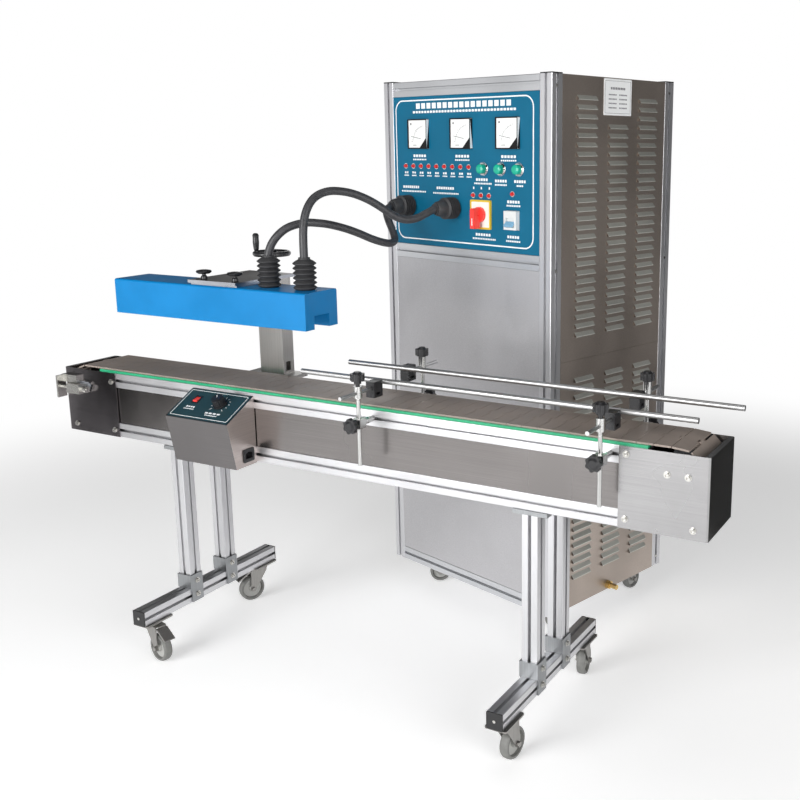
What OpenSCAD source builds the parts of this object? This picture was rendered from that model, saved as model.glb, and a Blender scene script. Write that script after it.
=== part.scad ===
// Induction cap sealer for a packaging line.
// A slat chain conveyor on a wheeled stand carries capped bottles under a sealing head.
// A wheeled cabinet beside it holds the generator, and two hoses join the two.
// X runs along the conveyor, Y towards the cabinet, Z up. The floor is at Z = 0.

/* [Slotted profile] */
// Side of the square slotted profile
profile = 40; // [38:0.5:44]
// Width of a slot's mouth
slot_w = 8; // [6:0.5:10]
// Width of a slot behind its lips
slot_inner_w = 16; // [13:0.5:18]
// Depth of a slot from the face
slot_depth = 11; // [9:0.5:12]
// Thickness of a slot's lips
slot_lip = 4; // [2:0.5:5]
// Diameter of the bore along the core
core_d = 7; // [4:0.5:8]
// Radius on the profile's corners
profile_r = 1.5; // [0.5:0.5:3]

/* [Conveyor] */
// Length over the end covers
conveyor_l = 1870; // [1700:10:2100]
// Width over the end covers
conveyor_w = 174; // [170:1:190]
// Height of the side frame over both rails
side_h = 180; // [172:1:210]
// Height of the upper rails above the floor
rail_top = 730; // [680:5:850]
// Length of each end cover
cover_l = 197; // [185:1:225]
// Sheet thickness of the end covers
cover_t = 2.5; // [1.5:0.5:4]
// Bend radius of the end covers
cover_r = 5; // [4.5:0.5:9]
// Length of rail that lies inside each end cover
rail_lap = 62; // [50:1:64]
// Sheet thickness of the side infill panels
infill_t = 2; // [1:0.5:3]
// Depth of the infill panels behind the rails' faces
infill_in = 2.5; // [0:0.5:3]

/* [Slat chain] */
// Distance between hinge pins
chain_pitch = 38.1; // [36:0.1:40]
// Width of a slat
slat_w = 152; // [140:1:156]
// Thickness of a slat
slat_t = 4; // [3:0.5:5]
// Gap between neighbouring slats
slat_gap = 1; // [0.6:0.1:1.5]
// Length of the tongue in the middle of each seam
slat_tongue = 6; // [3:0.5:8]
// Thickness of the wear strip between a rail and the slats
strip_t = 6; // [5:0.5:8]
// Width of a wear strip
strip_w = 20; // [12:1:26]
// Outer diameter of a hinge barrel
hinge_d = 8.4; // [7.5:0.1:8.6]
// Diameter of a hinge pin
hinge_pin_d = 5; // [4:0.1:5.5]
// Radial play of a hinge pin in its eyes
hinge_play = 0.3; // [0.25:0.05:0.5]
// Width of a hinge
hinge_w = 60; // [45:1:80]
// Number of teeth on a sprocket
sprocket_teeth = 8; // [7:1:9]
// Diameter of the sprocket shafts
shaft_d = 25; // [20:1:28]
// Distance between the two bolts of a shaft bearing
bearing_bolts = 45; // [42:1:50]

/* [Stand] */
// Distance between the two leg frames
leg_span = 1060; // [900:10:1200]
// Length of a foot bar
foot_l = 500; // [440:5:600]
// Height of the foot bars' underside above the floor
foot_z = 108; // [104:1:125]
// Size of the plate on top of a leg frame, along the conveyor
leg_plate_l = 86; // [70:1:120]
// Thickness of the plate on top of a leg frame
leg_plate_t = 10; // [6:1:14]
// Sheet thickness of the leg brackets
bracket_t = 4; // [3:0.5:5]
// Thickness of the plastic end caps
cap_t = 3; // [2:0.5:5]

/* [Casters] */
// Wheel diameter of the stand's casters
stand_wheel_d = 75; // [65:1:80]
// Wheel diameter of the cabinet's casters
cabinet_wheel_d = 63; // [50:1:64]
// Width of a wheel
wheel_w = 22; // [18:1:26]
// Diameter of a wheel's axle
axle_d = 8; // [6:0.5:10]
// Offset of the wheel from the swivel axis
trail = 30; // [24:1:34]
// Length of a caster's top plate
caster_plate_l = 88; // [70:1:95]
// Width of a caster's top plate
caster_plate_w = 55; // [50:1:70]
// Thickness of a caster's top plate
caster_plate_t = 4; // [3:0.5:5]

/* [Sealing head] */
// Length of the head
head_l = 645; // [560:5:720]
// Width of the head
head_w = 124; // [110:1:140]
// Height of the head
head_h = 92; // [84:1:110]
// Distance from the belt up to the head at its lowest
head_clear = 156; // [140:1:200]
// Centre of the head along the conveyor
head_x = -414; // [-450:1:-380]
// Width of the tunnel in the head's underside
tunnel_w = 58; // [48:1:66]
// Depth of the tunnel
tunnel_h = 33; // [26:1:38]
// Wall thickness of the head's casing
head_wall = 4; // [3:0.5:6]
// Edge radius of the head's casing
head_r = 6; // [3.5:0.5:9]
// Outer diameter of a hose boot
boot_d = 58; // [50:1:62]
// Length of a hose boot
boot_l = 80; // [70:1:95]
// Number of folds on a hose boot
boot_folds = 6; // [4:1:8]
// Diameter of a hose
hose_d = 20; // [18:1:24]

/* [Lift] */
// Width of the lift column
column_w = 80; // [68:1:90]
// Depth of the lift column
column_d = 43; // [41:1:52]
// Wall thickness of the column and of the tube inside it
column_t = 3; // [2:0.5:3.5]
// Centre of the column along the conveyor
column_x = -356; // [-380:1:-340]
// Gap between the rear rail and the column
column_gap = 25; // [18:1:36]
// Width of the plate that carries the head
plate_w = 160; // [140:1:180]
// Thickness of the plate that carries the head
plate_t = 8; // [6:0.5:12]
// Thickness of the spacer between the plate and the head
spacer_t = 5; // [3:0.5:10]
// Diameter of the lift screw
screw_d = 16; // [12:1:18]
// Travel of the lift
lift_travel = 150; // [80:5:150]
// Diameter of the handwheel
handwheel_d = 100; // [80:1:125]
// Height of the handwheel above its plate
handwheel_z = 62; // [40:1:70]

/* [Guides] */
// Position of the left guide posts along the conveyor
guide_x = 112; // [60:1:160]
// Distance between the two posts of a guide
guide_span = 604; // [480:1:620]
// Distance from a rail's face out to a post
post_reach = 51; // [46:1:60]
// Diameter of a post
post_d = 10; // [8:0.5:12]
// Length of a post
post_l = 190; // [170:1:220]
// Height of the front arms above the belt
arm_rise = 42; // [40:1:60]
// Extra height of the rear guide
rear_rise = 10; // [0:1:20]
// Diameter of an arm
arm_d = 9; // [7:0.5:10]
// Length of an arm
arm_l = 145; // [130:1:170]
// Diameter of a guide rail
rail_d = 13; // [10:0.5:16]
// Length of a guide rail
rail_l = 1014; // [900:2:1030]
// Distance of a guide rail from the middle of the belt
rail_y = 52; // [42:1:56]
// Offset of the front rail's middle from the middle between its posts
front_rail_shift = -25; // [-40:1:0]
// Offset of the rear rail's middle from the middle between its posts
rear_rail_shift = 42; // [0:1:60]
// Diameter of the star knobs
star_d = 37; // [32:1:42]

/* [Control box] */
// Width of the control box
box_w = 204; // [180:1:240]
// Centre of the control box along the conveyor
box_x = -352; // [-380:1:-330]
// Depth of the control box at its lip
box_d = 98; // [88:1:120]
// Depth of the control box at its foot
box_foot_d = 73; // [60:1:86]
// Height of the box's top above its lip
box_slope_h = 52; // [44:1:60]
// Height of the box's front
box_front_h = 122; // [108:1:135]
// Sheet thickness of the control box
box_t = 2; // [1.5:0.5:3]
// Diameter of the speed knob
speed_knob_d = 38; // [30:1:44]

/* [Cabinet] */
// Width of the cabinet
cabinet_w = 640; // [600:5:760]
// Depth of the cabinet
cabinet_d = 510; // [470:5:600]
// Height of the cabinet above the floor
cabinet_h = 1512; // [1450:2:1650]
// Height of the cabinet's underside above the floor
cabinet_z = 88; // [86:1:100]
// Position of the cabinet's front left corner along the conveyor
cabinet_x = -228; // [-300:1:-180]
// Position of the cabinet's front left corner behind the conveyor's middle
cabinet_y = 487; // [470:1:560]
// Turn of the cabinet towards the operator, in degrees
cabinet_turn = 16; // [0:1:20]
// Height of the fascia
fascia_h = 406; // [396:1:430]
// Sheet thickness of the panels
panel_t = 2; // [1.5:0.5:3]
// Height of the seam between the side panels
side_seam_z = 787; // [700:1:850]

/* [Louvres] */
// Width of a louvre
louvre_w = 76; // [60:1:90]
// Height of a louvre
louvre_h = 12; // [9:0.5:15]
// How far a louvre stands out
louvre_out = 7; // [4:0.5:9]
// Distance between louvres
louvre_pitch = 23.2; // [20:0.1:30]
// Distance between columns of louvres
louvre_column = 128; // [110:1:140]
// Plain height above the louvres and below them
louvre_margin = 48; // [40:1:80]
// Plain height at the top of the right side's middle column, for the rating plate
plate_field = 104; // [90:1:130]

/* [Fascia fittings] */
// Side of a panel meter
meter_s = 80; // [70:1:90]
// Distance between the panel meters
meter_pitch = 172; // [130:1:176]
// Diameter of an indicator lamp
lamp_d = 11; // [8:0.5:13]
// Distance between the lamps of the long row
lamp_pitch = 31.9; // [24:0.1:32]
// Diameter of a push button's lens
button_d = 25; // [18:0.5:26]
// Distance between the push buttons
button_pitch = 64; // [50:1:70]
// Side of the rotary switch's plate
switch_s = 76; // [64:1:80]

/* [Hidden] */
$fn = 48;
fit = 0.05;       // radial clearance of a shaft in its bore
gap = 0.3;        // clearance between faces that slide past each other
joint_gap = 0.2;  // gap at the butt joints of the profiles
overlap = 1;      // how far a cut runs past the face it opens

// Conveyor frame
half_l = conveyor_l / 2;
half_w = conveyor_w / 2;
rail_face = half_w - cover_t;
rail_half = half_l - cover_l + rail_lap;
rail_bottom = rail_top - side_h;
rail_mid_y = rail_face - profile / 2;
upper_z = rail_top - profile / 2;
lower_z = rail_bottom + profile / 2;
rail_inner = rail_face - profile;

// Slat chain
belt_top = rail_top + strip_t + slat_t;
hinge_drop = hinge_d / 2 + 0.1;
slat_under = belt_top - slat_t;
pitch_z = slat_under - hinge_drop;
pitch_r = chain_pitch / (2 * sin(180 / sprocket_teeth));
shaft_z = pitch_z - pitch_r;
wrap_r = pitch_r + hinge_drop + slat_t;
wrap_reach = norm([wrap_r, chain_pitch / 2]);
cover_room = 3;
shaft_x_limit = half_l - cover_t - wrap_reach - cover_room;
span_links = floor(4 * shaft_x_limit / chain_pitch) / 2;
shaft_x = span_links * chain_pitch / 2;
links = 2 * span_links + sprocket_teeth;
strip_y = slat_w / 2 + 6 - strip_w / 2;
bearing_t = 18;

// Lift and head
head_bottom = belt_top + head_clear;
head_top = head_bottom + head_h;
plate_z = head_top + spacer_t;
plate_top = plate_z + plate_t;
column_y = rail_face + column_gap + column_d / 2;
column_foot_t = 10;
column_foot_z = rail_top + 2;
column_top = plate_z - gap;
plate_front = -head_w / 2;
plate_back = column_y + column_d / 2 + 14;
handwheel_top = plate_top + handwheel_z;
boot_x = [head_x + 161, head_x + 275];
knob_x = [column_x - 90, column_x + 15];
knob_y = -28;

// Guides
post_x = [guide_x, guide_x + guide_span];
post_y = rail_face + post_reach;
arm_z = belt_top + arm_rise;
post_top = arm_z + 16;
rail_rise = 12;
arm_inner = rail_y + 6;
holder_d = 30;
holder_w = 24;
holder_h = 38;
clamp_w = 24;

// Control box
box_top = rail_top - 8;
box_front = rail_face;

// Cabinet, in its own axes: X to the right along its front, Y to the back
fascia_top = cabinet_h - profile;
fascia_z = fascia_top - fascia_h;
fascia_t = 3;
side_in = profile;
louvre_mid_y = cabinet_d / 2 + 5;
meter_x = profile + 69;
meter_z = fascia_top - 61 - meter_s;
lamp_x = profile + 52;
lamp_z = fascia_z + 218;
button_x = cabinet_w - profile - 197;
button_z = fascia_z + 214;
switch_x = button_x - 10;
switch_z = fascia_z + 95;
breaker_w = 46;
breaker_h = 50;
breaker_out = 12;
breaker_x = cabinet_w - profile - 92;
breaker_z = fascia_z + 85;
panel_boot_x = [profile + 63, profile + 246];
panel_boot_z = fascia_z + 108;
panel_boot_l = boot_l - 10;

// Casters: pivot, floor to plate, wheel diameter, heading of the wheel, brake
caster_y = foot_l / 2 - caster_plate_l / 2;
stand_caster = [
    [[-leg_span / 2, -caster_y], foot_z, stand_wheel_d, -12, true],
    [[-leg_span / 2, caster_y], foot_z, stand_wheel_d, -115, true],
    [[leg_span / 2, -caster_y], foot_z, stand_wheel_d, 84, false],
    [[leg_span / 2, caster_y], foot_z, stand_wheel_d, 100, false]
];
caster_in = 75;
cabinet_caster = [
    [[caster_in, caster_in], cabinet_z, cabinet_wheel_d, 49, false],
    [[cabinet_w - caster_in, caster_in], cabinet_z, cabinet_wheel_d, 70, false],
    [[caster_in, cabinet_d - caster_in], cabinet_z, cabinet_wheel_d, 90, false],
    [[cabinet_w - caster_in, cabinet_d - caster_in], cabinet_z, cabinet_wheel_d, 90, false]
];
race_d = 40;
race_h = 6;
fork_t = 3;
fork_gap = 2;
king_d = 10;

cap_screw = 1;

// Take-up of the chain, at the left end
take_up_plate_t = 6;
take_up_head = 6;
take_up_s = 26;
take_up_stub = 6;
stub_d = shaft_d - 6;

// The origin is the bottom centre of the whole machine
x_low = -half_l - take_up_plate_t - take_up_head;
x_high = guide_x + guide_span / 2 + rear_rail_shift + rail_l / 2;
y_low = -foot_l / 2 - cap_t - cap_screw;
y_high = cabinet_y - profile_r * sin(cabinet_turn)
    + (cabinet_d - profile_r) * cos(cabinet_turn) + profile_r;
origin = [-(x_low + x_high) / 2, -(y_low + y_high) / 2, 0];

// A point of the cabinet's own axes, before the move to the origin
function cabinet_point(p) = [
    cabinet_x + p[0] * cos(cabinet_turn) + p[1] * sin(cabinet_turn),
    cabinet_y - p[0] * sin(cabinet_turn) + p[1] * cos(cabinet_turn),
    p[2]
];

// A hose's route: out of a head boot, through the points chosen for it, into a panel boot
hose_in = 20;
function hose_route(k, middle) = concat(
    [[boot_x[k], 0, head_top + boot_l - hose_in], [boot_x[k], 0, head_top + boot_l]],
    middle,
    [
        cabinet_point([panel_boot_x[k], -panel_boot_l, panel_boot_z]),
        cabinet_point([panel_boot_x[k], hose_in - panel_boot_l, panel_boot_z])
    ]
);
hose_left_route = hose_route(0, [
    [-245, 5, 1095], [-231, 15, 1118], [-214, 29, 1135], [-196, 46, 1144], [-178, 66, 1148],
    [-163, 88, 1146], [-149, 111, 1142], [-136, 136, 1135], [-122, 161, 1126], [-107, 188, 1114],
    [-92, 216, 1100], [-79, 246, 1089], [-72, 276, 1084], [-78, 304, 1091], [-97, 324, 1111],
    [-122, 341, 1138], [-143, 362, 1162]
]);
hose_right_route = hose_route(1, [
    [-140, 1, 1100], [-142, 5, 1132], [-143, 12, 1161], [-141, 23, 1187], [-137, 40, 1208],
    [-130, 62, 1221], [-119, 86, 1227], [-106, 111, 1226], [-92, 135, 1221], [-78, 158, 1212],
    [-64, 180, 1200], [-50, 201, 1185], [-37, 221, 1169], [-24, 242, 1155], [-10, 264, 1149],
    [4, 289, 1152], [17, 314, 1163]
]);

// Moves a piece from the conveyor's middle to the origin
module place() {
    translate(origin) children();
}

// Moves a piece from the cabinet's own axes to the origin
module cabinet() {
    place() translate([cabinet_x, cabinet_y, 0]) rotate([0, 0, -cabinet_turn]) children();
}

// Runs its children at the front and mirrored to the rear of the conveyor
module both_sides() {
    for (side = [0, 1]) mirror([0, side, 0]) children();
}

module rounded_rect(w, h, r) {
    square([w - 2 * r, h], center = true);
    square([w, h - 2 * r], center = true);
    for (x = [-1, 1], y = [-1, 1]) translate([x * (w / 2 - r), y * (h / 2 - r)]) circle(r);
}

module block(low, high) {
    translate(low) cube(high - low);
}

// Cross-section of the slotted profile
module profile_section() {
    h = profile / 2;
    m = slot_w / 2;
    n = slot_inner_w / 2;
    straight = 3;
    difference() {
        rounded_rect(profile, profile, profile_r);
        for (turn = [0, 90, 180, 270]) rotate(turn) polygon([
            [-m, h + overlap], [-m, h - slot_lip], [-n, h - slot_lip],
            [-n, h - slot_lip - straight], [-m, h - slot_depth], [m, h - slot_depth],
            [n, h - slot_lip - straight], [n, h - slot_lip], [m, h - slot_lip], [m, h + overlap]
        ]);
        circle(d = core_d);
    }
}

// A length of profile from a point along X, Y or Z
module beam(start, length, axis) {
    turn = axis == "x" ? [90, 0, 90] : axis == "y" ? [-90, 0, 0] : [0, 0, 0];
    translate(start) rotate(turn) linear_extrude(length) profile_section();
}

// A cylinder from a point along -Y
module peg_y(at, d, length) {
    translate(at) rotate([90, 0, 0]) cylinder(d = d, h = length);
}

// A cylinder from a point along X
module peg_x(at, d, length) {
    translate(at) rotate([0, 90, 0]) cylinder(d = d, h = length);
}

// Round head of a socket bolt with its washer, standing on a face along +Z
module bolt_head(d = 10) {
    washer_t = 1.2;
    cylinder(d = 1.5 * d, h = washer_t);
    translate([0, 0, washer_t]) difference() {
        cylinder(d = d, h = 0.45 * d);
        translate([0, 0, 0.2 * d]) cylinder(d = 0.55 * d, h = d, $fn = 6);
    }
}

// Star-shaped knob with its stem, along +Z from its seat
module star_knob(d, h, stem_d, stem_l) {
    lobes = 7;
    lobe_d = 0.28 * d;
    cylinder(d = stem_d, h = stem_l + overlap);
    translate([0, 0, stem_l]) {
        cylinder(d = 0.5 * d, h = 0.3 * h);
        translate([0, 0, 0.25 * h]) linear_extrude(0.6 * h) {
            circle(d = 0.84 * d);
            for (k = [0 : lobes - 1]) rotate(k * 360 / lobes) translate([(d - lobe_d) / 2, 0]) circle(d = lobe_d);
        }
        translate([0, 0, 0.85 * h]) cylinder(d1 = 0.7 * d, d2 = 0.45 * d, h = 0.15 * h);
    }
}

// Bellows boot along +Z, with a bore for the hose
module boot(d, length, bore, folded = 0.9) {
    fold = length * folded / boot_folds;
    neck = bore + 8;
    root = d * 0.76;
    end = length * folded;
    dome = [for (a = [75 : -15 : 15]) [
        neck / 2 + (root - neck) / 2 * sin(a), end + (length - 4 - end) * cos(a)
    ]];
    folds = [for (k = [0 : boot_folds - 1]) each [[root / 2, k * fold], [d / 2, (k + 0.4) * fold], [d / 2, (k + 0.55) * fold]]];
    rotate_extrude() polygon(concat(
        [[bore / 2, 0]],
        folds,
        [[root / 2, end]],
        folded < 0.8 ? dome : [],
        [[neck / 2, length - 4], [neck / 2, length], [bore / 2, length]]
    ));
}

module conveyor_frame() {
    color("lightgray") place() {
        both_sides() for (z = [upper_z, lower_z]) beam([-rail_half, rail_mid_y, z], 2 * rail_half, "x");
        for (x = [-leg_span / 2, 0, leg_span / 2])
            beam([x, -rail_inner + joint_gap, lower_z], 2 * (rail_inner - joint_gap), "y");
        for (x = [-1, 1] * leg_span / 2) {
            leg_low = foot_z + profile + joint_gap;
            leg_high = rail_bottom - leg_plate_t;
            both_sides() beam([x, half_w - profile / 2, leg_low], leg_high - leg_low, "z");
            beam([x, -foot_l / 2, foot_z + profile / 2], foot_l, "y");
        }
    }
}

// Channel bracket that joins a leg to its foot bar, with the leg's axis at the origin
module leg_bracket() {
    h = profile / 2;
    out = h + bracket_t;
    for (side = [-1, 1])
        translate([side * (h + bracket_t / 2), 0, foot_z + profile])
            cube([bracket_t, profile, 2 * profile - 2], center = true);
    block([-out, -out, foot_z + profile + joint_gap], [out, -h, foot_z + 2 * profile - 1]);
}

module leg_brackets() {
    color("dimgray") place() for (x = [-1, 1] * leg_span / 2) {
        block([x - leg_plate_l / 2, -half_w, rail_bottom - leg_plate_t], [x + leg_plate_l / 2, half_w, rail_bottom]);
        for (y = [-1, 1] * (half_w - profile / 2)) translate([x, y, 0]) leg_bracket();
    }
}

// Bolts on one long side of the conveyor, seen from the front
module side_bolts() {
    inner = half_l - cover_l + 16;
    outer = half_l - 32;
    spots = [
        [inner, upper_z + 3], [inner, lower_z + 1], [outer, lower_z + 1],
        [-inner, upper_z - 5], [-inner, lower_z - 1], [-outer, lower_z],
        [shaft_x - bearing_bolts / 2, shaft_z], [shaft_x + bearing_bolts / 2, shaft_z]
    ];
    for (s = spots) translate([s[0], -half_w, s[1]]) rotate([90, 0, 0]) bolt_head();
}

module frame_bolts() {
    color("silver") {
        place() {
            both_sides() side_bolts();
            for (x = [-1, 1] * leg_span / 2, y = [-1, 1] * (half_w - profile / 2), side = [-1, 1], up = [0.5, 1.5])
                translate([x + side * (profile / 2 + bracket_t), y, foot_z + up * profile])
                    rotate([0, side * 90, 0]) bolt_head();
            for (x = [-1, 1] * leg_span / 2, side = [-1, 1])
                translate([x, side * (foot_l / 2 + cap_t), foot_z + profile / 2])
                    rotate([-side * 90, 0, 0]) cylinder(d = core_d, h = cap_screw);
        }
        cabinet() for (side = [0, 1], y = [0, 1], z = [0.02, 0.33, 0.66, 0.98])
            translate([side * cabinet_w, profile / 2 + y * (cabinet_d - profile), cabinet_z + z * (cabinet_h - cabinet_z)])
                rotate([0, side == 1 ? 90 : -90, 0]) translate([0, 0, -slot_lip]) cylinder(d = slot_w - 2 * gap, h = slot_lip);
    }
}

module end_caps() {
    color("black") {
        place() for (x = [-1, 1] * leg_span / 2, side = [-1, 1])
            translate([x, side * (foot_l / 2 + cap_t / 2), foot_z + profile / 2])
                rotate([90, 0, 0]) linear_extrude(cap_t, center = true) rounded_rect(profile, profile, profile_r);
        cabinet() for (x = [0, 1], y = [0, 1])
            translate([profile / 2 + x * (cabinet_w - profile), profile / 2 + y * (cabinet_d - profile), cabinet_h])
                linear_extrude(cap_t) rounded_rect(profile, profile, profile_r);
    }
}

module side_panels() {
    y = infill_in - rail_face;
    color("silver") place() both_sides()
        block([-rail_half, y, rail_bottom + profile + joint_gap], [rail_half, y + infill_t, rail_top - profile - joint_gap]);
}

// Sheet cover folded round one end of the conveyor, with the end at +X
module end_cover() {
    flange = 12;
    translate([0, 0, rail_bottom]) linear_extrude(side_h) difference() {
        translate([half_l - cover_l, 0]) union() {
            translate([cover_l / 2, 0]) rounded_rect(cover_l, conveyor_w, cover_r);
            translate([0, -half_w]) square([cover_l / 2, conveyor_w]);
        }
        translate([half_l - cover_l - overlap, 0]) union() {
            inner_l = cover_l - cover_t + overlap;
            translate([inner_l / 2, 0]) rounded_rect(inner_l, 2 * rail_face, cover_r - cover_t);
            translate([0, -rail_face]) square([inner_l / 2, 2 * rail_face]);
        }
    }
    block([half_l - flange, -rail_face, rail_top - cover_t], [half_l - cover_t, rail_face, rail_top]);
}

module end_covers() {
    slot_l = 62;
    slot_h = shaft_d + 1;
    color("silver") place() {
        end_cover();
        difference() {
            mirror([1, 0, 0]) end_cover();
            translate([-shaft_x, -half_w, shaft_z]) cube([slot_l, 4 * cover_t, slot_h], center = true);
        }
    }
}

// Place of a hinge pin on the loop, counted in links from the top left tangent point
function chain_point(s) =
    s < span_links ? [-shaft_x + s * chain_pitch, pitch_r]
    : s < span_links + sprocket_teeth / 2
        ? let (a = 90 - (s - span_links) * 360 / sprocket_teeth)
            [shaft_x + pitch_r * cos(a), pitch_r * sin(a)]
    : s < 2 * span_links + sprocket_teeth / 2
        ? [shaft_x - (s - span_links - sprocket_teeth / 2) * chain_pitch, -pitch_r]
    : let (a = 270 - (s - 2 * span_links - sprocket_teeth / 2) * 360 / sprocket_teeth)
        [-shaft_x + pitch_r * cos(a), pitch_r * sin(a)];

// Side outline of a hinge eye at the origin, with a web up to the slat on its +X side
module hinge_eye() {
    r = hinge_d / 2;
    web = 0.36 * chain_pitch;
    difference() {
        union() {
            circle(r);
            polygon([[0, -r], [r, -r], [web, hinge_drop + 0.2], [slat_gap, hinge_drop + 0.2], [slat_gap, 0]]);
        }
        circle(d = hinge_pin_d + 2 * hinge_play);
    }
}

// One slat with its hinge eyes: the first pin is at the origin, the next one pitch along X
module slat() {
    middle = hinge_w / 3;
    low = slat_gap / 2;
    high = chain_pitch - slat_gap / 2;
    m = middle / 2;
    w = slat_w / 2;
    translate([0, 0, hinge_drop]) linear_extrude(slat_t) polygon([
        [low, -w], [high, -w], [high, -m - gap], [high - slat_tongue, -m - gap], [high - slat_tongue, m + gap],
        [high, m + gap], [high, w], [low, w], [low, m], [low - slat_tongue, m], [low - slat_tongue, -m], [low, -m]
    ]);
    rotate([90, 0, 0]) linear_extrude(middle - 2 * gap, center = true) hinge_eye();
    for (side = [-1, 1]) translate([chain_pitch, side * (middle + gap), 0])
        rotate([90, 0, 0]) linear_extrude(middle, center = true) mirror([1, 0]) hinge_eye();
}

module slat_chain() {
    color("rosybrown") place() for (k = [0 : links - 1]) {
        at = chain_point(k);
        next = chain_point((k + 1) % links);
        translate([at[0], 0, shaft_z + at[1]]) {
            rotate([0, -atan2(next[1] - at[1], next[0] - at[0]), 0]) slat();
            peg_y([0, hinge_w / 2, 0], hinge_pin_d, hinge_w);
        }
    }
}

module wear_strips() {
    color("mediumseagreen") place() both_sides()
        block([-rail_half, -strip_y - strip_w / 2, rail_top], [rail_half, -strip_y + strip_w / 2, slat_under]);
}

// Flange bearing on the inner face of an end cover, seen from the front
module flange_bearing(x) {
    ear = 8;
    translate([x, -rail_face, shaft_z]) rotate([-90, 0, 0]) {
        difference() {
            union() {
                cylinder(d = shaft_d + 18, h = bearing_t);
                for (side = [-1, 1]) translate([side * bearing_bolts / 2, 0, 0]) cylinder(r = ear, h = bearing_t / 2);
                block([-bearing_bolts / 2, -ear, 0], [bearing_bolts / 2, ear, bearing_t / 2]);
            }
            translate([0, 0, -overlap]) cylinder(d = shaft_d + 2 * fit, h = bearing_t + 2 * overlap);
        }
    }
}

module shaft_bearings() {
    color("gray") place() both_sides() for (x = [-1, 1] * shaft_x) flange_bearing(x);
}

module drive_motor() {
    motor_d = 54;
    gearbox_l = 46;
    motor_l = 86;
    axis_z = rail_bottom + motor_d / 2 + 5;
    axis_x = rail_half + motor_d / 2 + 12;
    color("darkslategray") place() {
        block([axis_x - motor_d / 2, -rail_face, axis_z - motor_d / 2],
            [axis_x + motor_d / 2, -rail_face + gearbox_l, axis_z + motor_d / 2]);
        peg_y([axis_x, -rail_face + gearbox_l + motor_l, axis_z], motor_d - 2, motor_l);
    }
}

module take_up() {
    s = take_up_s;
    z = shaft_z - 5;
    left = -half_l;
    block_l = 50;
    screw = 10;
    nut_d = 18;
    front = -half_w;
    reach = s + 2;
    screw_end = -shaft_x + s / 2 + 20;
    color("gainsboro") place() {
        difference() {
            union() {
                block([left - take_up_plate_t, front - reach, z - 30], [left, front, z + 32]);
                block([left, front - 12, z + s / 2 + 1], [left + 58, front, z + s / 2 + 22]);
            }
            peg_x([left - take_up_plate_t - overlap, front - s / 2, z], screw + 2 * fit, take_up_plate_t + 2 * overlap);
        }
        difference() {
            block([-shaft_x + s / 2 - block_l, front - s, z - s / 2], [-shaft_x + s / 2, front, z + s / 2]);
            peg_y([-shaft_x, front + overlap, shaft_z], stub_d + 2 * fit, take_up_stub + overlap + gap);
            peg_x([-shaft_x - block_l, front - s / 2, z], screw + 2 * fit, 2 * block_l);
        }
        peg_x([left - take_up_plate_t, front - s / 2, z], screw, screw_end - left + take_up_plate_t);
        translate([left - take_up_plate_t - take_up_head, front - s / 2, z]) rotate([0, 90, 0])
            cylinder(d = nut_d, h = take_up_head, $fn = 6);
        difference() {
            peg_x([-shaft_x + s / 2, front - s / 2, z], nut_d, 18);
            peg_x([-shaft_x + s / 2 - overlap, front - s / 2, z], screw + 2 * fit, 20);
        }
    }
}

// Sprocket on a shaft along Y, with its first tooth at an angle
module sprocket(phase) {
    tip = pitch_r - hinge_d / 2 - 1.5;
    root = tip - 7;
    tooth = 6;
    face = hinge_w / 2;
    rotate([90, 0, 0]) linear_extrude(face, center = true) {
        circle(root);
        for (k = [0 : sprocket_teeth - 1]) rotate(phase + k * 360 / sprocket_teeth)
            polygon([[0, -tooth], [root, -tooth], [tip, -tooth / 2], [tip, tooth / 2], [root, tooth], [0, tooth]]);
    }
    peg_y([0, rail_face - gap, 0], shaft_d, 2 * (rail_face - gap));
    peg_y([0, hinge_w / 2, 0], shaft_d + 16, hinge_w);
}

module drive_sprocket() {
    color("dimgray") place() translate([shaft_x, 0, shaft_z])
        sprocket(90 - (0.5 - span_links) * 360 / sprocket_teeth);
}

module idler_sprocket() {
    color("dimgray") place() translate([-shaft_x, 0, shaft_z]) {
        sprocket(90 - (0.5 - 2 * span_links) * 360 / sprocket_teeth);
        peg_y([0, overlap - rail_face, 0], stub_d, overlap + cover_t + take_up_stub);
    }
}

// Side outline of the control box: X is the depth from the rail, Y the height from its top
box_outline = [
    [0, 0], [box_d, -box_slope_h], [box_foot_d, -box_slope_h - box_front_h], [0, -box_slope_h - box_front_h]
];
slope_angle = atan2(box_slope_h, box_d);
slope_l = norm([box_d, box_slope_h]);

// Moves an outline's corners inwards by a wall thickness
function inset(points, t) = [
    for (i = [0 : len(points) - 1])
        let (
            a = points[(i + len(points) - 1) % len(points)],
            b = points[i],
            c = points[(i + 1) % len(points)],
            n1 = [b[1] - a[1], a[0] - b[0]] / norm(b - a),
            n2 = [c[1] - b[1], b[0] - c[0]] / norm(c - b)
        )
        b + t * (n1 + n2) / (1 + n1 * n2)
];

// Runs its children on the box's sloping face: X to the right, Y up the slope, Z out of it
module on_slope() {
    translate([box_x, -box_front - box_d / 2, box_top - box_slope_h / 2]) rotate([slope_angle, 0, 0]) children();
}

inlet_w = 30;
inlet_h = 26;
inlet_y = box_front + 30;
inlet_z = box_top - box_slope_h - box_front_h + 28;
rocker_at = [-52, 14];
rocker_w = 15;
rocker_l = 21;
rocker_pivot = 3;
hose_bore = hose_d + 1;
knob_at = [32, 8];
knob_hole = 10;

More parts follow.
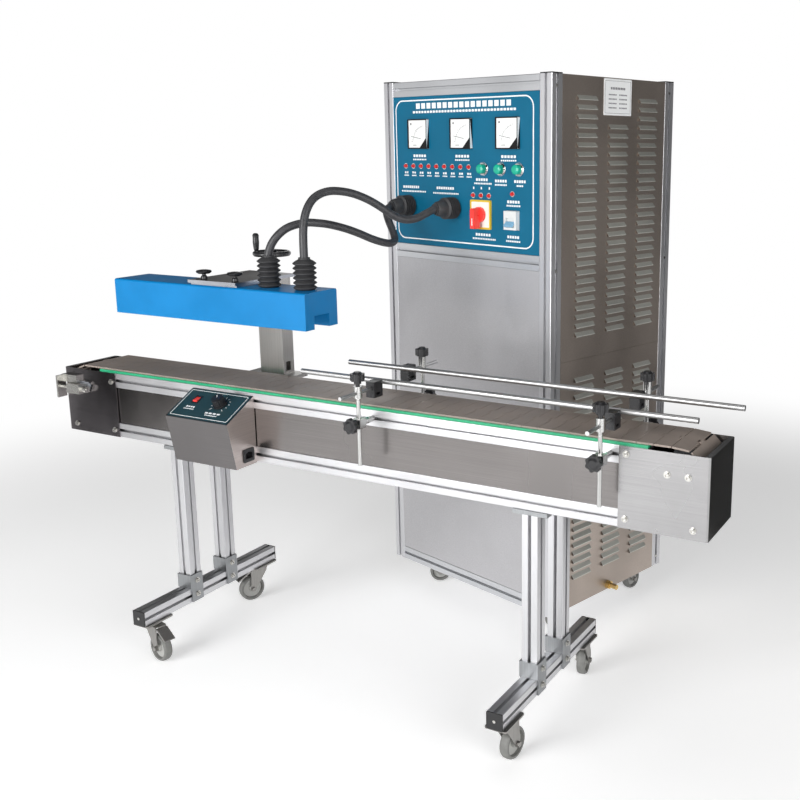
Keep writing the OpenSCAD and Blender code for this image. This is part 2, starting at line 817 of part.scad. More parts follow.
module control_box() {
    color("silver") place() difference() {
        translate([box_x, -box_front, box_top]) rotate([90, 0, -90]) linear_extrude(box_w, center = true)
            polygon(box_outline);
        translate([box_x, -box_front, box_top]) rotate([90, 0, -90]) linear_extrude(box_w - 2 * box_t, center = true)
            polygon(inset(box_outline, box_t));
        on_slope() {
            translate([rocker_at[0], rocker_at[1], 0]) cube([rocker_w + 2, rocker_l + 2, 8 * box_t], center = true);
            translate([knob_at[0], knob_at[1], -4 * box_t]) cylinder(d = knob_hole, h = 8 * box_t);
        }
        translate([box_x + box_w / 2, -inlet_y, inlet_z]) cube([8 * box_t, inlet_w, inlet_h], center = true);
    }
}

module control_plate() {
    edge = 3;
    plate = 1;
    color("darkslategray") place() on_slope() difference() {
        linear_extrude(plate) rounded_rect(box_w - 2 * edge, slope_l - 2 * edge, 4);
        translate([rocker_at[0], rocker_at[1], 0]) cube([rocker_w + 2, rocker_l + 2, 4], center = true);
        translate([knob_at[0], knob_at[1], -overlap]) cylinder(d = knob_hole, h = 4);
    }
}

// Body of the rocker switch, and the mains inlet with its three blades
module box_fittings() {
    wall = 1.5;
    flange = 3;
    deep = 16;
    color("black") place() {
        on_slope() translate([rocker_at[0], rocker_at[1], 0]) difference() {
            union() {
                translate([0, 0, 1]) linear_extrude(1.5) square([rocker_w + 6, rocker_l + 6], center = true);
                translate([0, 0, -deep]) linear_extrude(deep + 1) square([rocker_w + 1.6, rocker_l + 1.6], center = true);
            }
            translate([0, 0, -deep + wall]) linear_extrude(2 * deep) square([rocker_w - 1, rocker_l - 1], center = true);
            rotate([0, 90, 0]) cylinder(d = rocker_pivot + 2 * fit, h = rocker_w + 1.1, center = true);
        }
        on_slope() translate([knob_at[0], knob_at[1], -12]) difference() {
            cylinder(d = knob_hole - 2 * gap, h = 13 + 0.8);
            translate([0, 0, -overlap]) cylinder(d = 6 + 2 * fit, h = 20);
        }
        translate([box_x + box_w / 2, -inlet_y, inlet_z]) rotate([90, 0, 90]) {
            difference() {
                union() {
                    linear_extrude(flange) rounded_rect(inlet_w + 8, inlet_h + 8, 4);
                    translate([0, 0, -deep]) linear_extrude(deep) square([inlet_w - 1, inlet_h - 1], center = true);
                }
                translate([0, 0, -deep + 2 * wall]) linear_extrude(2 * deep) polygon([
                    [-12, -8.5], [12, -8.5], [12, 4.5], [8, 8.5], [-8, 8.5], [-12, 4.5]
                ]);
            }
            for (pin = [[-7, -1.5], [0, 2.5], [7, -1.5]]) translate([pin[0] - 1, pin[1] - 2, -deep + wall])
                cube([2, 4, deep - wall - 4]);
        }
    }
}

module rocker() {
    w = rocker_w - 2;
    half = rocker_l / 2 - 1.4;
    crown = 1.8;
    color("red") place() on_slope() translate([rocker_at[0], rocker_at[1], 0]) rotate([90, 0, 90]) {
        cylinder(d = rocker_pivot, h = rocker_w + 0.6, center = true);
        linear_extrude(w, center = true) polygon([
            [-half, -3], [half, -3], [half, 1.6], [0, 3.4], [crown - half, 5.6], [-half, 2.5]
        ]);
    }
}

module speed_knob() {
    flutes = 18;
    skirt = 5;
    body = 17;
    color("black") place() on_slope() translate([knob_at[0], knob_at[1], 1 + 0.8 + gap]) {
        cylinder(d = speed_knob_d, h = skirt);
        translate([0, 0, skirt]) linear_extrude(body) difference() {
            circle(d = 0.82 * speed_knob_d);
            for (k = [0 : flutes - 1]) rotate(k * 360 / flutes) translate([0.44 * speed_knob_d, 0]) circle(d = 4);
        }
        translate([0, 0, skirt + body]) cylinder(d = 0.6 * speed_knob_d, h = 1);
        translate([0, 0, -13]) cylinder(d = 6, h = 13 + overlap);
    }
}

module lift_column() {
    base_w = 154;
    base_back = column_y + column_d / 2 + 10;
    back_t = 8;
    post_d2 = screw_d + 10;
    post_top_z = column_top - 60;
    low = column_foot_z;
    color("silver") place() {
        difference() {
            block([column_x - column_w / 2, column_y - column_d / 2, low], [column_x + column_w / 2, column_y + column_d / 2, column_top]);
            block([column_x - column_w / 2 + column_t, column_y - column_d / 2 + column_t, low - overlap],
                [column_x + column_w / 2 - column_t, column_y + column_d / 2 - column_t, column_top + overlap]);
            translate([column_x + column_w / 2, column_y - 2, low + 20]) cube([4 * column_t, 18, 26], center = true);
        }
        block([column_x - base_w / 2, rail_face, low - column_foot_t], [column_x + base_w / 2, base_back, low]);
        block([column_x - base_w / 2, rail_face, rail_bottom + 4], [column_x + base_w / 2, rail_face + back_t, low]);
        for (side = [-1, 1]) translate([column_x + side * base_w / 3, 0, 0]) rotate([90, 0, 90])
            linear_extrude(6, center = true) polygon([
                [rail_face, low - column_foot_t - 70], [rail_face + back_t, low - column_foot_t - 70],
                [base_back - 8, low - column_foot_t], [rail_face, low - column_foot_t]
            ]);
        difference() {
            translate([column_x, column_y, low]) cylinder(d = post_d2, h = post_top_z - low);
            translate([column_x, column_y, low + 4]) cylinder(d = screw_d + 1, h = post_top_z);
        }
    }
}

module head_plate() {
    tube_w = column_w - 2 * column_t - 2 * gap;
    tube_d = column_d - 2 * column_t - 2 * gap;
    tube_l = lift_travel + 60;
    left = column_x - plate_w / 2 - 34;
    color("gray") place() {
        difference() {
            union() {
                block([left, plate_front, plate_z], [left + plate_w, plate_back, plate_top]);
                block([left + 3, plate_front + 8, head_top], [left + plate_w - 3, head_w / 2 - 8, plate_z]);
                difference() {
                    block([column_x - tube_w / 2, column_y - tube_d / 2, plate_z - tube_l],
                        [column_x + tube_w / 2, column_y + tube_d / 2, plate_z]);
                    block([column_x - tube_w / 2 + column_t, column_y - tube_d / 2 + column_t, plate_z - tube_l - overlap],
                        [column_x + tube_w / 2 - column_t, column_y + tube_d / 2 - column_t, plate_z]);
                }
            }
            translate([column_x, column_y, plate_z - overlap]) cylinder(d = screw_d + 2 * fit, h = plate_t + 2 * overlap);
        }
    }
}

module plate_knobs() {
    color("black") place() for (x = knob_x) translate([x, knob_y, plate_top]) rotate_extrude() polygon([
        [0, 0], [9, 0], [8, 6], [5, 9], [5, 12], [14, 13], [19, 16], [20, 19], [18, 21.5], [10, 23], [0, 23.5]
    ]);
}

// Section of the head's casing: an inverted channel with rounded upper edges
module head_section(shrink) {
    w = head_w / 2 - shrink;
    t = tunnel_w / 2 + shrink;
    r = head_r - shrink;
    low = shrink;
    top = head_h - shrink;
    roof = tunnel_h + shrink;
    difference() {
        union() {
            translate([-w, low]) square([2 * w, top - low - r]);
            translate([-w + r, low]) square([2 * (w - r), top - low]);
            for (side = [-1, 1]) translate([side * (w - r), top - r]) circle(r);
        }
        translate([-t, -overlap]) square([2 * t, roof + overlap]);
    }
}

module head_housing() {
    color("dodgerblue") place() translate([head_x, 0, head_bottom]) rotate([90, 0, 90]) difference() {
        linear_extrude(head_l, center = true) head_section(0);
        linear_extrude(head_l - 2 * head_wall, center = true) head_section(head_wall * 0.75);
    }
}

// Flat copper coil that lies on the tunnel's roof inside the head
module induction_coil() {
    turns = 3;
    bar = 5;
    space = 3;
    step = bar + space;
    long = head_l - 2 * head_wall - 20;
    wide = 2 * (turns * step + 5);
    color("peru") place() translate([head_x, 0, head_bottom + tunnel_h + 0.75 * head_wall]) {
        for (k = [0 : turns - 1]) linear_extrude(bar) difference() {
            rounded_rect(long - 2 * k * step, wide - 2 * k * step, wide / 2 - k * step - 0.1);
            rounded_rect(long - 2 * k * step - 2 * bar, wide - 2 * k * step - 2 * bar, wide / 2 - k * step - bar - 0.1);
        }
        block([-6, -wide / 2, bar], [6, -wide / 2 + turns * step - space, bar + 3]);
    }
}

module head_boots() {
    color("darkslategray") place() for (x = boot_x) translate([x, 0, head_top]) boot(boot_d, boot_l, hose_bore);
}

module handwheel() {
    rim_h = 13;
    hub_d = 26;
    grip_r = handwheel_d / 2 - 10;
    grip_turn = 213;
    grip_l = 47;
    screw_end = column_foot_z + 12;
    color("black") place() translate([column_x, column_y, 0]) {
        difference() {
            union() {
                translate([0, 0, plate_top + gap]) cylinder(d = hub_d, h = handwheel_z + 4);
                translate([0, 0, handwheel_top - rim_h]) rotate_extrude() polygon([
                    [0, 3], [handwheel_d / 2 - 12, 3], [handwheel_d / 2 - 9, 0], [handwheel_d / 2 - 3, 0],
                    [handwheel_d / 2, 4], [handwheel_d / 2, 9], [handwheel_d / 2 - 4, rim_h],
                    [handwheel_d / 2 - 9, rim_h], [handwheel_d / 2 - 12, 9], [0, 9]
                ]);
            }
            translate([0, 0, plate_top - overlap]) cylinder(d = screw_d + 2 * fit, h = handwheel_z);
        }
        rotate(grip_turn) translate([grip_r, 0, handwheel_top + gap]) rotate_extrude() polygon([
            [0, 0], [5, 0], [7, 5], [8.5, 22], [8, grip_l - 12], [8.5, grip_l - 6], [6.5, grip_l - 1.5], [3, grip_l], [0, grip_l]
        ]);
        translate([0, 0, screw_end]) cylinder(d = screw_d, h = plate_top + handwheel_z - overlap - screw_end);
    }
}

function unit(v) = v / norm(v);

// Direction along a route at one of its points
function heading(route, i) =
    unit(route[min(i + 1, len(route) - 1)] - route[max(i - 1, 0)]);

// Carries a cross direction along a route without twisting it
function carried(route, i) =
    let (
        t = heading(route, i),
        last = i == 0 ? [1, 0, 0] : carried(route, i - 1)
    )
    unit(last - (last * t) * t);

// Round tube swept along a route
module swept_tube(route, d) {
    sides = 10;
    rings = len(route);
    points = [
        for (i = [0 : rings - 1])
            let (t = heading(route, i), u = carried(route, i), v = cross(t, u))
            for (k = [0 : sides - 1])
                route[i] + d / 2 * (cos(k * 360 / sides) * u + sin(k * 360 / sides) * v)
    ];
    walls = [
        for (i = [0 : rings - 2], k = [0 : sides - 1])
            let (n = (k + 1) % sides, a = i * sides, b = a + sides)
            each [[a + k, b + k, a + n], [a + n, b + k, b + n]]
    ];
    ends = [
        [for (k = [0 : sides - 1]) k],
        [for (k = [sides - 1 : -1 : 0]) (rings - 1) * sides + k]
    ];
    polyhedron(points, concat(walls, ends), convexity = 6);
}

module hose_left() {
    color("black") place() swept_tube(hose_left_route, hose_d - 2 * gap);
}

module hose_right() {
    color("black") place() swept_tube(hose_right_route, hose_d - 2 * gap);
}

// Clamp of one guide post, bolted in the front rail's slot, with its star knob
module guide_clamp(x) {
    stud = 8;
    clamp_h = 22;
    nut_w = slot_inner_w - 1;
    front = post_y + clamp_w / 2;
    translate([x, 0, upper_z]) {
        difference() {
            union() {
                block([-clamp_w / 2, -front, -clamp_h / 2], [clamp_w / 2, -post_y + clamp_w / 2, clamp_h / 2]);
                peg_y([0, -rail_face, 0], 16, post_reach - clamp_w / 2 + overlap);
            }
            translate([0, -post_y, -clamp_h]) cylinder(d = post_d + 2 * fit, h = 2 * clamp_h);
        }
        block([-nut_w / 2, -rail_face + slot_lip + 0.2, -slot_inner_w / 2 + 1], [nut_w / 2, -rail_face + slot_lip + 2.8, slot_inner_w / 2 - 1]);
        peg_y([0, -rail_face + slot_lip + 1, 0], slot_w - 1, slot_lip + 2);
        translate([0, -front, 0]) rotate([90, 0, 0]) star_knob(star_d, 20, stud, 8);
    }
}

module guide_clamps() {
    color("silver") place() both_sides() for (x = post_x) guide_clamp(x);
}

// Two posts with the heads that hold the arms, at the front
module guide_posts(rise) {
    head_d = 20;
    top = post_top + rise;
    for (x = post_x) translate([x, -post_y, 0]) {
        difference() {
            union() {
                translate([0, 0, top - post_l]) cylinder(d = post_d, h = post_l);
                translate([0, 0, arm_z + rise - 12]) cylinder(d = head_d, h = top - arm_z + 12);
            }
            peg_y([0, arm_l, arm_z + rise], arm_d + 2 * fit, 2 * arm_l);
        }
        translate([0, 0, top]) star_knob(star_d - 3, 28, post_d, 6);
    }
}

// Guide rail with its holders and arms, at the front
module guide_rail(rise, shift) {
    z = arm_z + rise;
    rail_z = z + rail_rise;
    low = z - holder_h / 2 - 3;
    color_rail = [(post_x[0] + post_x[1]) / 2 + shift - rail_l / 2, -rail_y, rail_z];
    peg_x(color_rail, rail_d, rail_l);
    for (x = post_x) {
        peg_y([x, -arm_inner - holder_d / 2, z], arm_d, arm_l - holder_d / 2);
        difference() {
            block([x - holder_w / 2, -arm_inner - holder_d, low], [x + holder_w / 2, -arm_inner + 3, low + holder_h]);
            peg_x([x - holder_w, -rail_y, rail_z], rail_d + 2 * fit, 2 * holder_w);
            block([x - holder_w, -arm_inner - holder_d + 8, low + 6], [x + holder_w, -arm_inner - 8, low + 12]);
            peg_y([x, -arm_inner - holder_d / 2, z], arm_d + 2 * fit, holder_d);
        }
    }
}

module front_posts() {
    color("silver") place() guide_posts(0);
}

module front_guide() {
    color("gainsboro") place() guide_rail(0, front_rail_shift);
}

module rear_posts() {
    color("silver") place() mirror([0, 1, 0]) guide_posts(rear_rise);
}

module rear_guide() {
    color("gainsboro") place() mirror([0, 1, 0]) guide_rail(rear_rise, rear_rail_shift);
}

module cabinet_frame() {
    h = profile / 2;
    g = joint_gap;
    back = cabinet_d - h;
    right = cabinet_w - h;
    across = cabinet_w - 2 * profile - 2 * g;
    along = cabinet_d - 2 * profile - 2 * g;
    levels = [cabinet_z + h, cabinet_h - h];
    color("lightgray") cabinet() {
        for (x = [h, right], y = [h, back]) beam([x, y, cabinet_z], cabinet_h - cabinet_z, "z");
        for (z = concat(levels, [fascia_z - h])) beam([profile + g, h, z], across, "x");
        for (z = levels) beam([profile + g, back - panel_t, z], across, "x");
        for (z = concat(levels, [side_seam_z]), x = [h + panel_t, right - panel_t]) beam([x, profile + g, z], along, "y");
    }
}

module cabinet_panels() {
    lower_top = fascia_z - profile - joint_gap;
    lower_bottom = cabinet_z + profile + joint_gap;
    side = profile + panel_t + joint_gap;
    color("silver") cabinet() {
        block([profile + joint_gap, 1, lower_bottom], [cabinet_w - profile - joint_gap, 1 + panel_t, lower_top]);
        block([profile + joint_gap, cabinet_d - panel_t, cabinet_z], [cabinet_w - profile - joint_gap, cabinet_d, cabinet_h]);
        for (z = [cabinet_z, cabinet_h - panel_t])
            block([side, profile + joint_gap, z], [cabinet_w - side, cabinet_d - side, z + panel_t]);
    }
}

// Section of a louvre: X runs out of the sheet, Y down from its upper edge
module louvre_section() {
    t = panel_t;
    polygon([[-t, 0], [0, 0], [louvre_out, louvre_h - t], [louvre_out, louvre_h], [louvre_out - t, louvre_h], [-t, t]]);
}

// Side panel with its columns of louvres, from one height to another, facing +X
module louvre_panel(low, high, plain = 0) {
    rows = floor((high - low - 2 * louvre_margin) / louvre_pitch);
    first = high - louvre_margin;
    skipped = ceil((plain - louvre_margin + louvre_h) / louvre_pitch);
    spots = [for (c = [-1 : 1], k = [0 : rows - 1]) if (c != 0 || k >= skipped)
        [louvre_mid_y + c * louvre_column, first - k * louvre_pitch]];
    translate([-panel_t, 0, 0]) rotate([90, 0, 90]) linear_extrude(panel_t) difference() {
        translate([profile + joint_gap, low]) square([cabinet_d - 2 * (profile + joint_gap), high - low]);
        for (spot = spots) translate([spot[0] - louvre_w / 2 + panel_t / 2, spot[1] - louvre_h])
            square([louvre_w - panel_t, louvre_h]);
    }
    for (spot = spots) translate([0, spot[0], spot[1]])
        rotate([-90, 0, 0]) {
            linear_extrude(louvre_w, center = true) louvre_section();
            for (side = [-1, 1]) translate([0, 0, side * (louvre_w - panel_t) / 2])
                linear_extrude(panel_t, center = true)
                    polygon([[-panel_t, 0], [0, 0], [louvre_out, louvre_h - panel_t], [louvre_out, louvre_h], [-panel_t, louvre_h]]);
        }
}

module louvre_panels() {
    color("dimgray") cabinet() {
        for (side = [0, 1]) translate([side * cabinet_w, 0, 0]) mirror([1 - side, 0, 0]) {
            louvre_panel(side_seam_z + joint_gap, cabinet_h, side * plate_field);
            louvre_panel(cabinet_z, side_seam_z - joint_gap);
        }
    }
}

// Runs its children on the fascia's face: X to the right, Y up, Z out of it
module on_fascia(x, z) {
    translate([x, 0, z]) rotate([90, 0, 0]) children();
}

module fascia() {
    color("steelblue") cabinet() difference() {
        block([profile + joint_gap, 0, fascia_z + joint_gap],
            [cabinet_w - profile - joint_gap, fascia_t, fascia_top - joint_gap]);
        for (k = [0 : 2]) on_fascia(button_x + k * button_pitch, button_z)
            translate([0, 0, -2 * fascia_t]) cylinder(d = button_d + 1, h = 4 * fascia_t);
        on_fascia(switch_x, switch_z) translate([0, 0, -2 * fascia_t]) cylinder(d = 12, h = 4 * fascia_t);
        on_fascia(breaker_x, breaker_z) cube([breaker_w, breaker_h, 4 * fascia_t], center = true);
        for (x = panel_boot_x) on_fascia(x, panel_boot_z)
            translate([0, 0, -2 * fascia_t]) cylinder(d = hose_d + 2, h = 4 * fascia_t);
    }
}

// Square moving-iron meter: case, dial and needle
module panel_meter() {
    s = meter_s;
    rim = 3;
    case_h = 9;
    corner = 26;
    deep = 40;
    difference() {
        linear_extrude(case_h) rounded_rect(s, s, 2);
        translate([0, 0, case_h - 3]) linear_extrude(case_h) polygon([
            [-s / 2 + rim, -s / 2 + rim], [s / 2 - rim - corner, -s / 2 + rim], [s / 2 - rim, -s / 2 + rim + corner],
            [s / 2 - rim, s / 2 - rim], [-s / 2 + rim, s / 2 - rim]
        ]);
    }
    translate([0, 0, case_h - 3]) linear_extrude(0.6) polygon([
        [-s / 2 + rim + 0.2, -s / 2 + rim + 0.2], [s / 2 - rim - corner, -s / 2 + rim + 0.2],
        [s / 2 - rim - 0.2, -s / 2 + rim + corner], [s / 2 - rim - 0.2, s / 2 - rim - 0.2],
        [-s / 2 + rim + 0.2, s / 2 - rim - 0.2]
    ]);
    translate([s / 2 - rim - 0.3 * s, -s / 2 + rim + 0.3 * s, case_h - 2.4]) rotate(170) translate([0, -0.5, 0])
        cube([0.5 * s, 1, 0.6]);
}

module panel_meters() {
    color("black") cabinet() for (k = [0 : 2])
        on_fascia(meter_x + meter_s / 2 + k * meter_pitch, meter_z + meter_s / 2) panel_meter();
}

module panel_lamp() {
    cylinder(d = lamp_d + 4, h = 2);
    translate([0, 0, 2]) cylinder(d1 = lamp_d, d2 = 0.7 * lamp_d, h = 5);
}

// Lamps, button bezels, rotary switch plate and circuit breaker on the fascia
module panel_fittings() {
    bezel = 7;
    lamp_over = 42;
    breaker_deep = 30;
    color("silver") cabinet() {
        for (k = [0 : 8]) on_fascia(lamp_x + k * lamp_pitch, lamp_z) panel_lamp();
        for (k = [-1 : 1]) on_fascia(switch_x + k * 0.93 * lamp_pitch, switch_z + switch_s / 2 + 12) panel_lamp();
        on_fascia(breaker_x, breaker_z + breaker_h / 2 + lamp_over) panel_lamp();
        for (k = [0 : 2]) on_fascia(button_x + k * button_pitch, button_z) difference() {
            union() {
                cylinder(d = button_d + 10, h = 3);
                translate([0, 0, 3]) cylinder(d1 = button_d + 9, d2 = button_d + 5, h = bezel - 3);
            }
            translate([0, 0, -overlap]) cylinder(d = button_d + 2 * gap, h = 2 * bezel);
        }
        on_fascia(switch_x, switch_z) difference() {
            linear_extrude(5) rounded_rect(switch_s, switch_s, 3);
            translate([0, 0, -overlap]) cylinder(d = 10 + 2 * fit, h = 8);
        }
        on_fascia(breaker_x, breaker_z) difference() {
            union() {
                translate([0, 0, -breaker_deep]) linear_extrude(breaker_deep)
                    square([breaker_w - 1, breaker_h - 1], center = true);
                linear_extrude(breaker_out) square([breaker_w - 2, breaker_h - 2], center = true);
            }
            translate([0, -6, breaker_out - 6]) linear_extrude(10) square([breaker_w - 16, 24], center = true);
        }
    }
}

module panel_boots() {
    color("black") cabinet() for (x = panel_boot_x)
        on_fascia(x, panel_boot_z) boot(boot_d, panel_boot_l, hose_bore, 0.55);
}

module rotary_handle() {
    disc_d = 40;
    grip_l = 46;
    grip_w = 15;
    grip_top = disc_d / 2 - grip_w / 2 - 2;
    color("red") cabinet() on_fascia(switch_x, switch_z) {
        translate([0, 0, 5 + gap]) cylinder(d = disc_d, h = 9);
        translate([0, 0, 14]) linear_extrude(22) {
            translate([-grip_w / 2, grip_top - grip_l]) square([grip_w, grip_l]);
            translate([0, grip_top]) circle(d = grip_w);
        }
        translate([0, 0, -8]) cylinder(d = 10, h = 20);
    }
}

module breaker_toggle() {
    w = breaker_w - 18;
    color("skyblue") cabinet() on_fascia(breaker_x, breaker_z) translate([0, -6, breaker_out - 2])
        rotate([90, 0, 90]) linear_extrude(w, center = true) {
            circle(d = 7);
            rotate(128) translate([0, -3]) square([13, 6]);
        }
}

// Push button with a domed lens, counted from the left
module push_button(k) {
    stem = 18;
    lens = 16;
    color("mediumseagreen") cabinet() on_fascia(button_x + k * button_pitch, button_z) {
        translate([0, 0, -stem]) cylinder(d = button_d - 6, h = stem + overlap);
        cylinder(d = button_d, h = lens);
        translate([0, 0, lens]) rotate_extrude() polygon([
            [0, 0], [button_d / 2, 0], [button_d / 2 - 1.5, 2.4], [button_d / 2 - 5, 4], [0, 4.6]
        ]);
    }
}

module water_fitting() {
    color("goldenrod") cabinet() translate([cabinet_w, cabinet_d / 2, cabinet_z + 14]) rotate([0, 90, 0]) {
        cylinder(d = 26, h = 9, $fn = 6);
        translate([0, 0, 9]) cylinder(d = 20, h = 3);
        translate([0, 0, 12]) cylinder(d = 15, h = 22);
    }
}

// Fixed part of a caster: plate, race and king pin, with the floor at Z = 0
module caster_plate(spec, turned) {
    top = spec[1];
    race_z = top - caster_plate_t - race_h;
    translate([spec[0][0], spec[0][1], 0]) {
        translate([0, 0, top - caster_plate_t]) rotate(turned ? 90 : 0) linear_extrude(caster_plate_t)
            rounded_rect(caster_plate_l, caster_plate_w, 5);
        translate([0, 0, race_z]) cylinder(d = race_d, h = race_h);
        translate([0, 0, race_z - 8]) cylinder(d = king_d, h = 9);
        translate([0, 0, race_z - 10]) cylinder(d = king_d + 6, h = 10 - fork_t - 1 - 2 * gap);
    }
}

// Swivelling part of a caster, headed along X, with the floor at Z = 0
module caster_fork(spec) {
    top = spec[1] - caster_plate_t - race_h - gap;
    axle_z = spec[2] / 2;
    inner = wheel_w / 2 + fork_gap;
    bridge = fork_t + 1;
    eye = axle_d + 8;
    color("silver") translate([spec[0][0], spec[0][1], 0]) rotate(spec[3]) {
        difference() {
            union() {
                translate([0, 0, top - bridge]) cylinder(d = race_d, h = bridge);
                block([-race_d / 3, -inner - fork_t, top - bridge], [trail, inner + fork_t, top]);
                for (side = [-1, 1]) translate([0, side * (inner + fork_t / 2), 0]) rotate([90, 0, 0])
                    linear_extrude(fork_t, center = true) {
                        translate([trail, axle_z]) circle(d = eye);
                        polygon([[-race_d / 3, top], [-race_d / 3, top - 8], [trail - eye / 2, axle_z - 2],
                            [trail + eye / 2, axle_z], [trail + 4, top]]);
                    }
            }
            cylinder(d = king_d + 2 * fit, h = 2 * top);
        }
        peg_y([trail, inner + fork_t + 5, axle_z], axle_d, 2 * (inner + fork_t + 5));
        for (side = [-1, 1]) translate([trail, side * (inner + fork_t + 2.5), axle_z]) rotate([90, 0, 0])
            cylinder(d = axle_d + 5, h = 5, center = true, $fn = 6);
        if (spec[4]) translate([trail, 0, 0]) rotate([90, 0, 0]) linear_extrude(2 * inner + 4, center = true) polygon([
            [4, top - bridge], [12, top - bridge], [46, top - bridge - 22], [44, top - bridge - 25], [8, top - bridge - 3], [4, top - bridge - 3]
        ]);
    }
}

// Wheel of a caster with a rounded tread
module caster_wheel(spec) {
    r = spec[2] / 2;
    w = wheel_w / 2;
    hub = axle_d / 2 + 6;
    color("gray") translate([spec[0][0], spec[0][1], 0]) rotate(spec[3]) translate([trail, 0, r])
        rotate([90, 0, 0]) rotate_extrude() polygon([
            [axle_d / 2 + fit, -w - 1.5], [hub, -w - 1.5], [hub, -w / 3], [r - 10, -w / 3], [r - 8, -w],
            [r - 3, -w], [r - 0.6, -w + 4], [r, 0], [r - 0.6, w - 4], [r - 3, w],
            [r - 8, w], [r - 10, w / 3], [hub, w / 3], [hub, w + 1.5], [axle_d / 2 + fit, w + 1.5]
        ]);
}

module caster_plates() {
    color("silver") {
        place() for (spec = stand_caster) caster_plate(spec, true);
        cabinet() for (spec = cabinet_caster) caster_plate(spec, false);
        cabinet() for (k = [2, 3]) caster_fork(cabinet_caster[k]);
    }
}

conveyor_frame();
leg_brackets();
frame_bolts();
end_caps();
side_panels();
end_covers();
slat_chain();
wear_strips();
shaft_bearings();
drive_motor();
take_up();
control_box();
control_plate();
box_fittings();
rocker();
speed_knob();
lift_column();
head_plate();
plate_knobs();
head_housing();
induction_coil();
head_boots();
handwheel();
hose_left();
hose_right();
guide_clamps();
front_posts();
front_guide();
rear_posts();
rear_guide();
drive_sprocket();
idler_sprocket();
cabinet_frame();
cabinet_panels();
louvre_panels();
fascia();
panel_meters();
panel_fittings();
panel_boots();
rotary_handle();
breaker_toggle();
push_button(0);  // push_button_1
push_button(1);  // push_button_2
push_button(2);  // push_button_3
water_fitting();
caster_plates();
place() caster_fork(stand_caster[0]);  // caster_fork_1
place() caster_fork(stand_caster[1]);  // caster_fork_2
place() caster_fork(stand_caster[2]);  // caster_fork_3
place() caster_fork(stand_caster[3]);  // caster_fork_4
cabinet() caster_fork(cabinet_caster[0]);  // caster_fork_5
cabinet() caster_fork(cabinet_caster[1]);  // caster_fork_6
place() caster_wheel(stand_caster[0]);  // caster_wheel_1
place() caster_wheel(stand_caster[1]);  // caster_wheel_2
place() caster_wheel(stand_caster[2]);  // caster_wheel_3
place() caster_wheel(stand_caster[3]);  // caster_wheel_4
cabinet() caster_wheel(cabinet_caster[0]);  // caster_wheel_5
cabinet() caster_wheel(cabinet_caster[1]);  // caster_wheel_6
cabinet() caster_wheel(cabinet_caster[2]);  // caster_wheel_7
cabinet() caster_wheel(cabinet_caster[3]);  // caster_wheel_8
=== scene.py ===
import math
import bmesh
import bpy
from mathutils import Matrix, Vector


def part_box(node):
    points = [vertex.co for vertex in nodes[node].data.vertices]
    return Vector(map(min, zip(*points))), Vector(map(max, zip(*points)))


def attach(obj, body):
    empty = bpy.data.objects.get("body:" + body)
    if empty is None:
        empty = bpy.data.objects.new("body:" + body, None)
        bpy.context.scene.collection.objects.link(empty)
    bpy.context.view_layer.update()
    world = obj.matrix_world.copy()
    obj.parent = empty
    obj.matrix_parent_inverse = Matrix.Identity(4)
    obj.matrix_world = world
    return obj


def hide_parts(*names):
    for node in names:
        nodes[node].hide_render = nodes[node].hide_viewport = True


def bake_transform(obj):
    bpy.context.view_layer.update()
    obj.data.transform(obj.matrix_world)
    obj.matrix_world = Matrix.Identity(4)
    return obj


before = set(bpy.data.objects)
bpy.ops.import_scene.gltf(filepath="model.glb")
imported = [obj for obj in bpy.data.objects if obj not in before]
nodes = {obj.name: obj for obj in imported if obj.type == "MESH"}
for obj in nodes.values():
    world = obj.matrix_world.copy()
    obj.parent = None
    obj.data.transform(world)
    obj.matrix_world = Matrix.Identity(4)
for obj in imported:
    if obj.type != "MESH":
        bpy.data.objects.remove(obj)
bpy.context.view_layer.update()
scene = bpy.context.scene
scene.view_settings.view_transform = "Standard"
print("frame loaded:", len(nodes), "nodes")

originShift = Vector((-8.0, -361.444, 0.0))  # conveyor middle to machine origin, mm
cabinetCorner = Vector((-228.0, 487.0, 0.0))
cabinetTurn = math.radians(-16)
cabinetSpin = Matrix.Rotation(cabinetTurn, 3, "Z")


def fromBelt(x, y, z):  # a point measured from the conveyor's middle, mm
    return (Vector((x, y, z)) + originShift) * 0.001


def fromCabinet(x, y, z):  # a point in the cabinet's own axes, mm
    return (cabinetSpin @ Vector((x, y, z)) + cabinetCorner + originShift) * 0.001


# camera
cameraValues = {
    "place": (1474.96, -1950.76, 1330.65),
    "forward": (-0.4396, 0.8740, -0.2074),
    "roll": 0.15,
    "lens": 45.04,
    "shiftX": -0.1662,
    "shiftY": -0.0482,
}
forward = Vector(cameraValues["forward"]).normalized()
sideways = forward.cross(Vector((0, 0, 1))).normalized()
upward = sideways.cross(forward)
cameraData = bpy.data.cameras.new("photoCamera")
cameraData.sensor_width = 36
cameraData.lens = cameraValues["lens"]
cameraData.shift_x = cameraValues["shiftX"]
cameraData.shift_y = cameraValues["shiftY"]
cameraData.clip_end = 60
camera = bpy.data.objects.new("photoCamera", cameraData)
rolled = Matrix.Rotation(math.radians(cameraValues["roll"]), 3, "Z")
turned = Matrix((sideways, upward, -forward)).transposed() @ rolled
camera.matrix_world = Matrix.Translation(fromBelt(*cameraValues["place"])) @ turned.to_4x4()
scene.collection.objects.link(camera)
scene.camera = camera
print("camera placed")


def meshObject(name, bm, finish=None, smoothAngle=None):
    mesh = bpy.data.meshes.new(name)
    bm.normal_update()
    bm.to_mesh(mesh)
    bm.free()
    piece = bpy.data.objects.new(name, mesh)
    scene.collection.objects.link(piece)
    if finish:
        mesh.materials.append(finish)
    if smoothAngle is not None:
        mesh.shade_smooth()
        mesh.set_sharp_from_angle(angle=math.radians(smoothAngle))
    return piece


# finishes


